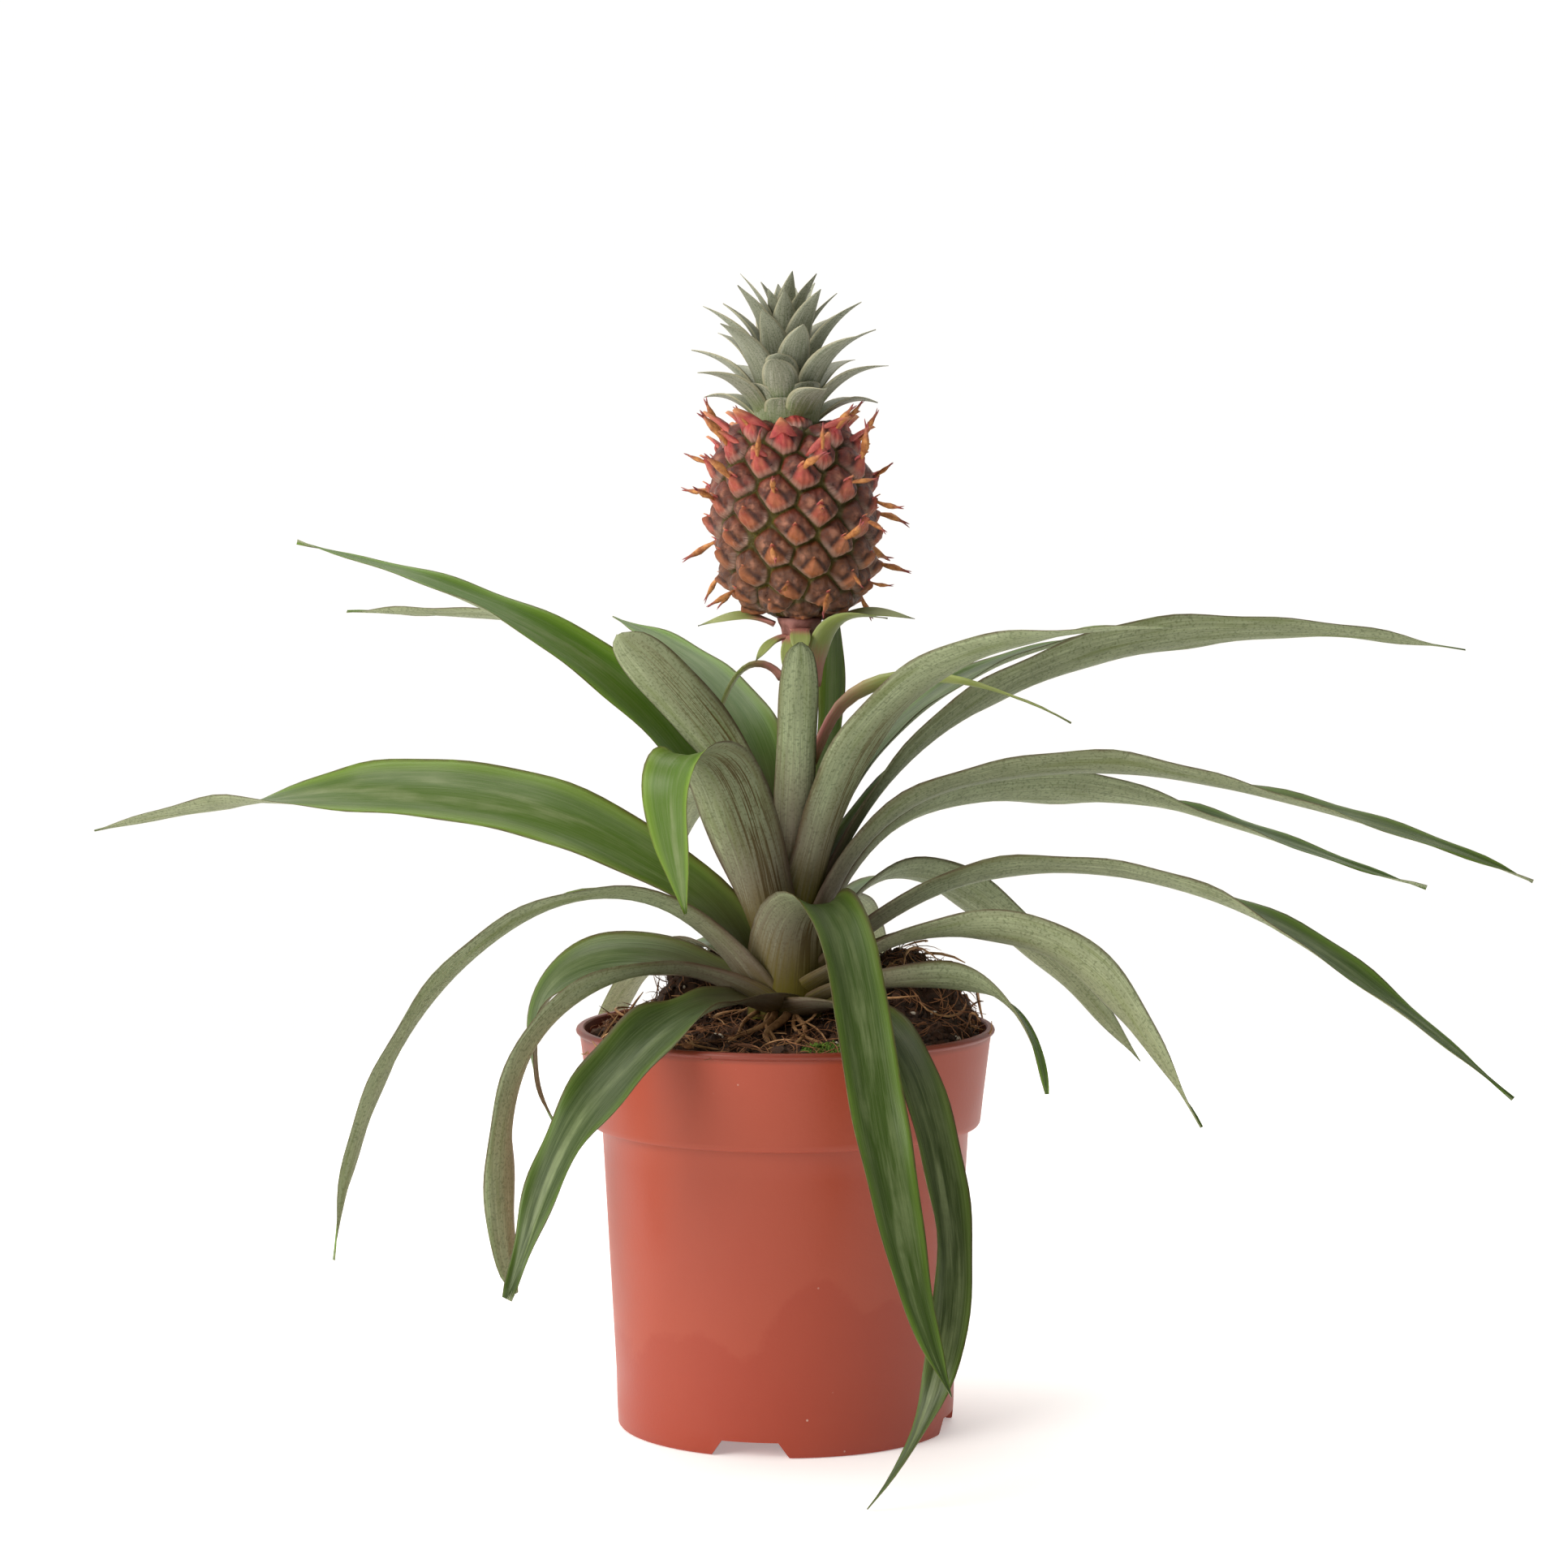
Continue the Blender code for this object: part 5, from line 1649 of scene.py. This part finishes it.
@dataclass
class Crown:
    """Tuft of short stiff leaves on top of the fruit, on a golden-angle spiral."""

    low_z: float = 0.2883
    cad_leaves: int = 19
    leaves: int = 37
    # heading in degrees, height above low_z, length and width of each short leaf
    low_leaves: Sequence[tuple[float, float, float, float]] = (
        (262, 0.0025, 0.0170, 0.0110), (300, -0.0012, 0.0125, 0.0115), (222, -0.0016, 0.0125, 0.0110),
        (264, -0.0022, 0.0085, 0.0120), (338, -0.0020, 0.0110, 0.0100), (100, 0.0005, 0.0140, 0.0110),
        (20, -0.0012, 0.0120, 0.0100), (60, -0.0018, 0.0110, 0.0100), (140, -0.0018, 0.0110, 0.0100),
        (180, -0.0014, 0.0120, 0.0100))

    def build(self, tissue: bpy.types.Material) -> bpy.types.Object:
        """Builds every crown leaf and the short shoot that holds them as one piece.

        Args:
            tissue: Finish of the leaves.

        Returns:
            The crown.
        """
        parts = []
        same: dict[str, Any] = {"arc": 70.0, "thick": 0.0008, "ripple": 0.0, "cols": 6, "foot": 0.0, "fleshy": 0.6}
        for k in range(self.leaves):
            s = k / (self.leaves - 1)
            z = self.low_z - 0.0016 + 0.0150 * s ** 0.95
            r = float(np.interp(z - self.low_z, (0, 0.004, 0.010, 0.016), (0.0080, 0.0070, 0.0042, 0.0018)))
            length = 0.0215 + 0.0085 * smooth(s, 0.0, 0.35) - 0.0030 * smooth(s, 0.75, 1.0)
            length *= 1 + 0.10 * math.sin(5.3 * k)
            up = 14 + 64 * s ** 0.72
            blade = Blade("crown_part", 20 + GOLDEN * k, z, length, 0.0115 - 0.0030 * s,
                          (up + 30, up + 18, up + 4, up - 12, up - 30 + 8 * s), sheath=0.0105 - 0.0060 * s,
                          rows=16, start=r, bright=1.0 - 0.6 * s, taper=1.6, **same)
            parts.append(blade.build(tissue, k))
        # short rounded leaves close over the fruit's shoulder
        for heading, lift, length, width in self.low_leaves:
            blade = Blade("crown_part", heading, self.low_z + lift, length, width, (84, 74, 60, 40),
                          sheath=0.0090, rows=14, start=0.0086, bright=0.7, taper=3.0, stub=0.30, **same)
            parts.append(blade.build(tissue, heading))
        rings = [circle(r, self.low_z + h, 20, axis_x(self.low_z + h)) for h, r in
                 ((-0.003, 0.0078), (0.004, 0.0066), (0.010, 0.0040), (0.015, 0.0014))]
        verts, faces = ring_skin(rings)
        parts.append(mesh_object("crown_part", verts, faces, tissue, {
            "blade": np.zeros((len(verts), 3)), "tint": np.tile([0.4, 0.5, 0.0], (len(verts), 1))}))
        piece = joined(parts, "crown_leaves")
        place(piece, Slot.CROWN, "crown_stem", *["crown_leaf_%02d" % (i + 1) for i in range(self.cad_leaves)])
        return piece


def joined(parts: Sequence[bpy.types.Object], name: str) -> bpy.types.Object:
    """Joins parts into one object and keeps their attributes.

    Args:
        parts: Objects at the origin.
        name: Name of the result.

    Returns:
        The joined object.
    """
    for obj in bpy.context.scene.objects:
        obj.select_set(False)
    for part in parts:
        part.select_set(True)
    bpy.context.view_layer.objects.active = parts[0]
    bpy.ops.object.join()
    parts[0].name = name
    parts[0].data.name = name
    parts[0].select_set(False)
    return parts[0]


# ---- stage -----------------------------------------------------------------------------------
@dataclass
class Studio:
    """Pale floor, soft light from the left, and the camera."""

    camera_y: float = -1.17666
    camera_z: float = 0.27273
    camera_x: float = -0.00041
    down: float = 4.3144
    lens: float = 94.866
    sensor: float = 36.0
    white: tuple[float, float, float, float] = (1.0, 1.0, 1.0, 1.0)
    sky: tuple[float, float, float, float] = (1.0, 0.975, 0.945, 1.0)
    lamp_colour: tuple[float, float, float] = (1.0, 0.955, 0.90)
    aim: tuple[float, float, float] = (0, 0, 0.16)
    glow: float = 0.28
    floor_r: float = 0.80
    floor_z: float = -0.0002

    def build(self) -> None:
        """Sets the floor, the sky, the lights and the camera."""
        scene = bpy.context.scene
        scene.view_settings.view_transform = "Standard"
        mat = bpy.data.materials.new("matte_white_paper")
        mat.use_nodes = True
        shader = mat.node_tree.nodes["Principled BSDF"]
        shader.inputs["Base Color"].default_value = self.white
        shader.inputs["Roughness"].default_value = 0.9
        # lit a little from below, as on a light table, which takes most of the shadow away
        shader.inputs["Emission Color"].default_value = self.white
        shader.inputs["Emission Strength"].default_value = self.glow
        verts, faces = ring_skin([circle(self.floor_r, self.floor_z, 96)], cap_low=False)
        floor = mesh_object("floor", verts, faces, mat)
        world = bpy.data.worlds.new("studio")
        scene.world = world
        world.use_nodes = True
        sky = world.node_tree.nodes["Background"]
        # white cyclorama behind and to the left, a darker room to the front and right
        tree = world.node_tree
        way = add(tree, "ShaderNodeTexCoord").outputs["Generated"]
        facing = add(tree, "ShaderNodeVectorMath", {0: way, 1: (-0.70, 0.70, 0.14)}, operation="DOT_PRODUCT")
        level = add(tree, "ShaderNodeMapRange", {0: facing.outputs["Value"], 1: -0.35, 2: 0.45, 3: 0.33, 4: 1.06})
        sky.inputs["Color"].default_value = self.sky
        tree.links.new(level.outputs[0], sky.inputs["Strength"])
        lamps = (("key", (-1.35, -1.05, 0.85), 1.3, 28.0), ("top", (-0.2, 0.5, 1.6), 1.2, 11.0))
        for name, spot, size, watts in lamps:
            data = bpy.data.lights.new(name, "AREA")
            data.shape, data.size, data.energy = "DISK", size, watts
            data.color = self.lamp_colour
            lamp = bpy.data.objects.new(name, data)
            lamp.location = spot
            lamp.rotation_euler = (Vector(self.aim) - Vector(spot)).to_track_quat("-Z", "Y").to_euler()
            scene.collection.objects.link(lamp)
        data = bpy.data.cameras.new("camera")
        data.lens, data.sensor_width = self.lens, self.sensor
        camera = bpy.data.objects.new("camera", data)
        camera.location = (self.camera_x, self.camera_y, self.camera_z)
        camera.rotation_euler = (math.radians(90 - self.down), 0, 0)
        scene.collection.objects.link(camera)
        scene.camera = camera


def main() -> None:
    """Builds the whole plant."""
    logging.basicConfig(level=logging.INFO, format="%(message)s")
    Studio().build()
    leaf = LeafTissue("living_leaf_tissue").build()
    bract = BractTissue("stalk_bract_tissue").build()
    crown = CrownTissue("crown_leaf_tissue").build()
    # matt near-black brown peat, red-brown coir, and paler tan roots that stand out from both
    soil = Speckled("peat_potting_soil", "#4B301F", "#2A1A10", grain=0.0010, rough=0.95, bump=0.0008).build()
    fibre = Speckled("coir_fibre", "#966640", "#643E24", grain=0.0020, rough=0.8).build()
    root = Speckled("dry_root", "#B98E62", "#8A6038", grain=0.0015, rough=0.75).build()
    # chalky white grains and a soft yellow-green cushion, the two light spots on the soil
    perlite = Speckled("expanded_perlite", "#DCD3C4", "#BDB09C", grain=0.0006, rough=0.9).build()
    moss = Speckled("cushion_moss", "#6E8A2C", "#4B6A20", grain=0.0010, rough=0.9).build()
    # fleshy pink-brown stalk, papery tan flowers and coral bract tips that run paler to the end
    stem = Speckled("stalk_tissue", "#A8726A", "#7A4A40", grain=0.0016, rough=0.6, bump=0.0003).build()
    dried = Speckled("dried_petal", "#C88A4E", "#96582C", tip="#96484A", grain=0.0007, rough=0.7).build()
    tips = Speckled("fruit_bract_tip", "#BE6254", "#A84446", tip="#C48258", grain=0.0010, rough=0.55).build()
    Pot().build(TerracottaPolypropylene("moulded_polypropylene_terracotta").build())
    RootBall().build(soil, fibre, root, perlite, moss)
    Stalk().build(stem)
    for blades, tissue, slot, first in ((rosette(), leaf, Slot.LEAF, 1), (bracts(), bract, Slot.BRACT, 40)):
        for number, blade in enumerate(blades, first):
            piece = blade.build(tissue, number)
            piece.name = blade.name + "_blade"
            place(piece, slot, blade.name)
    Fruit().build(FruitSkin("pineapple_skin").build(), dried, tips)
    Crown().build(crown)


if __name__ == "__main__":
    main()
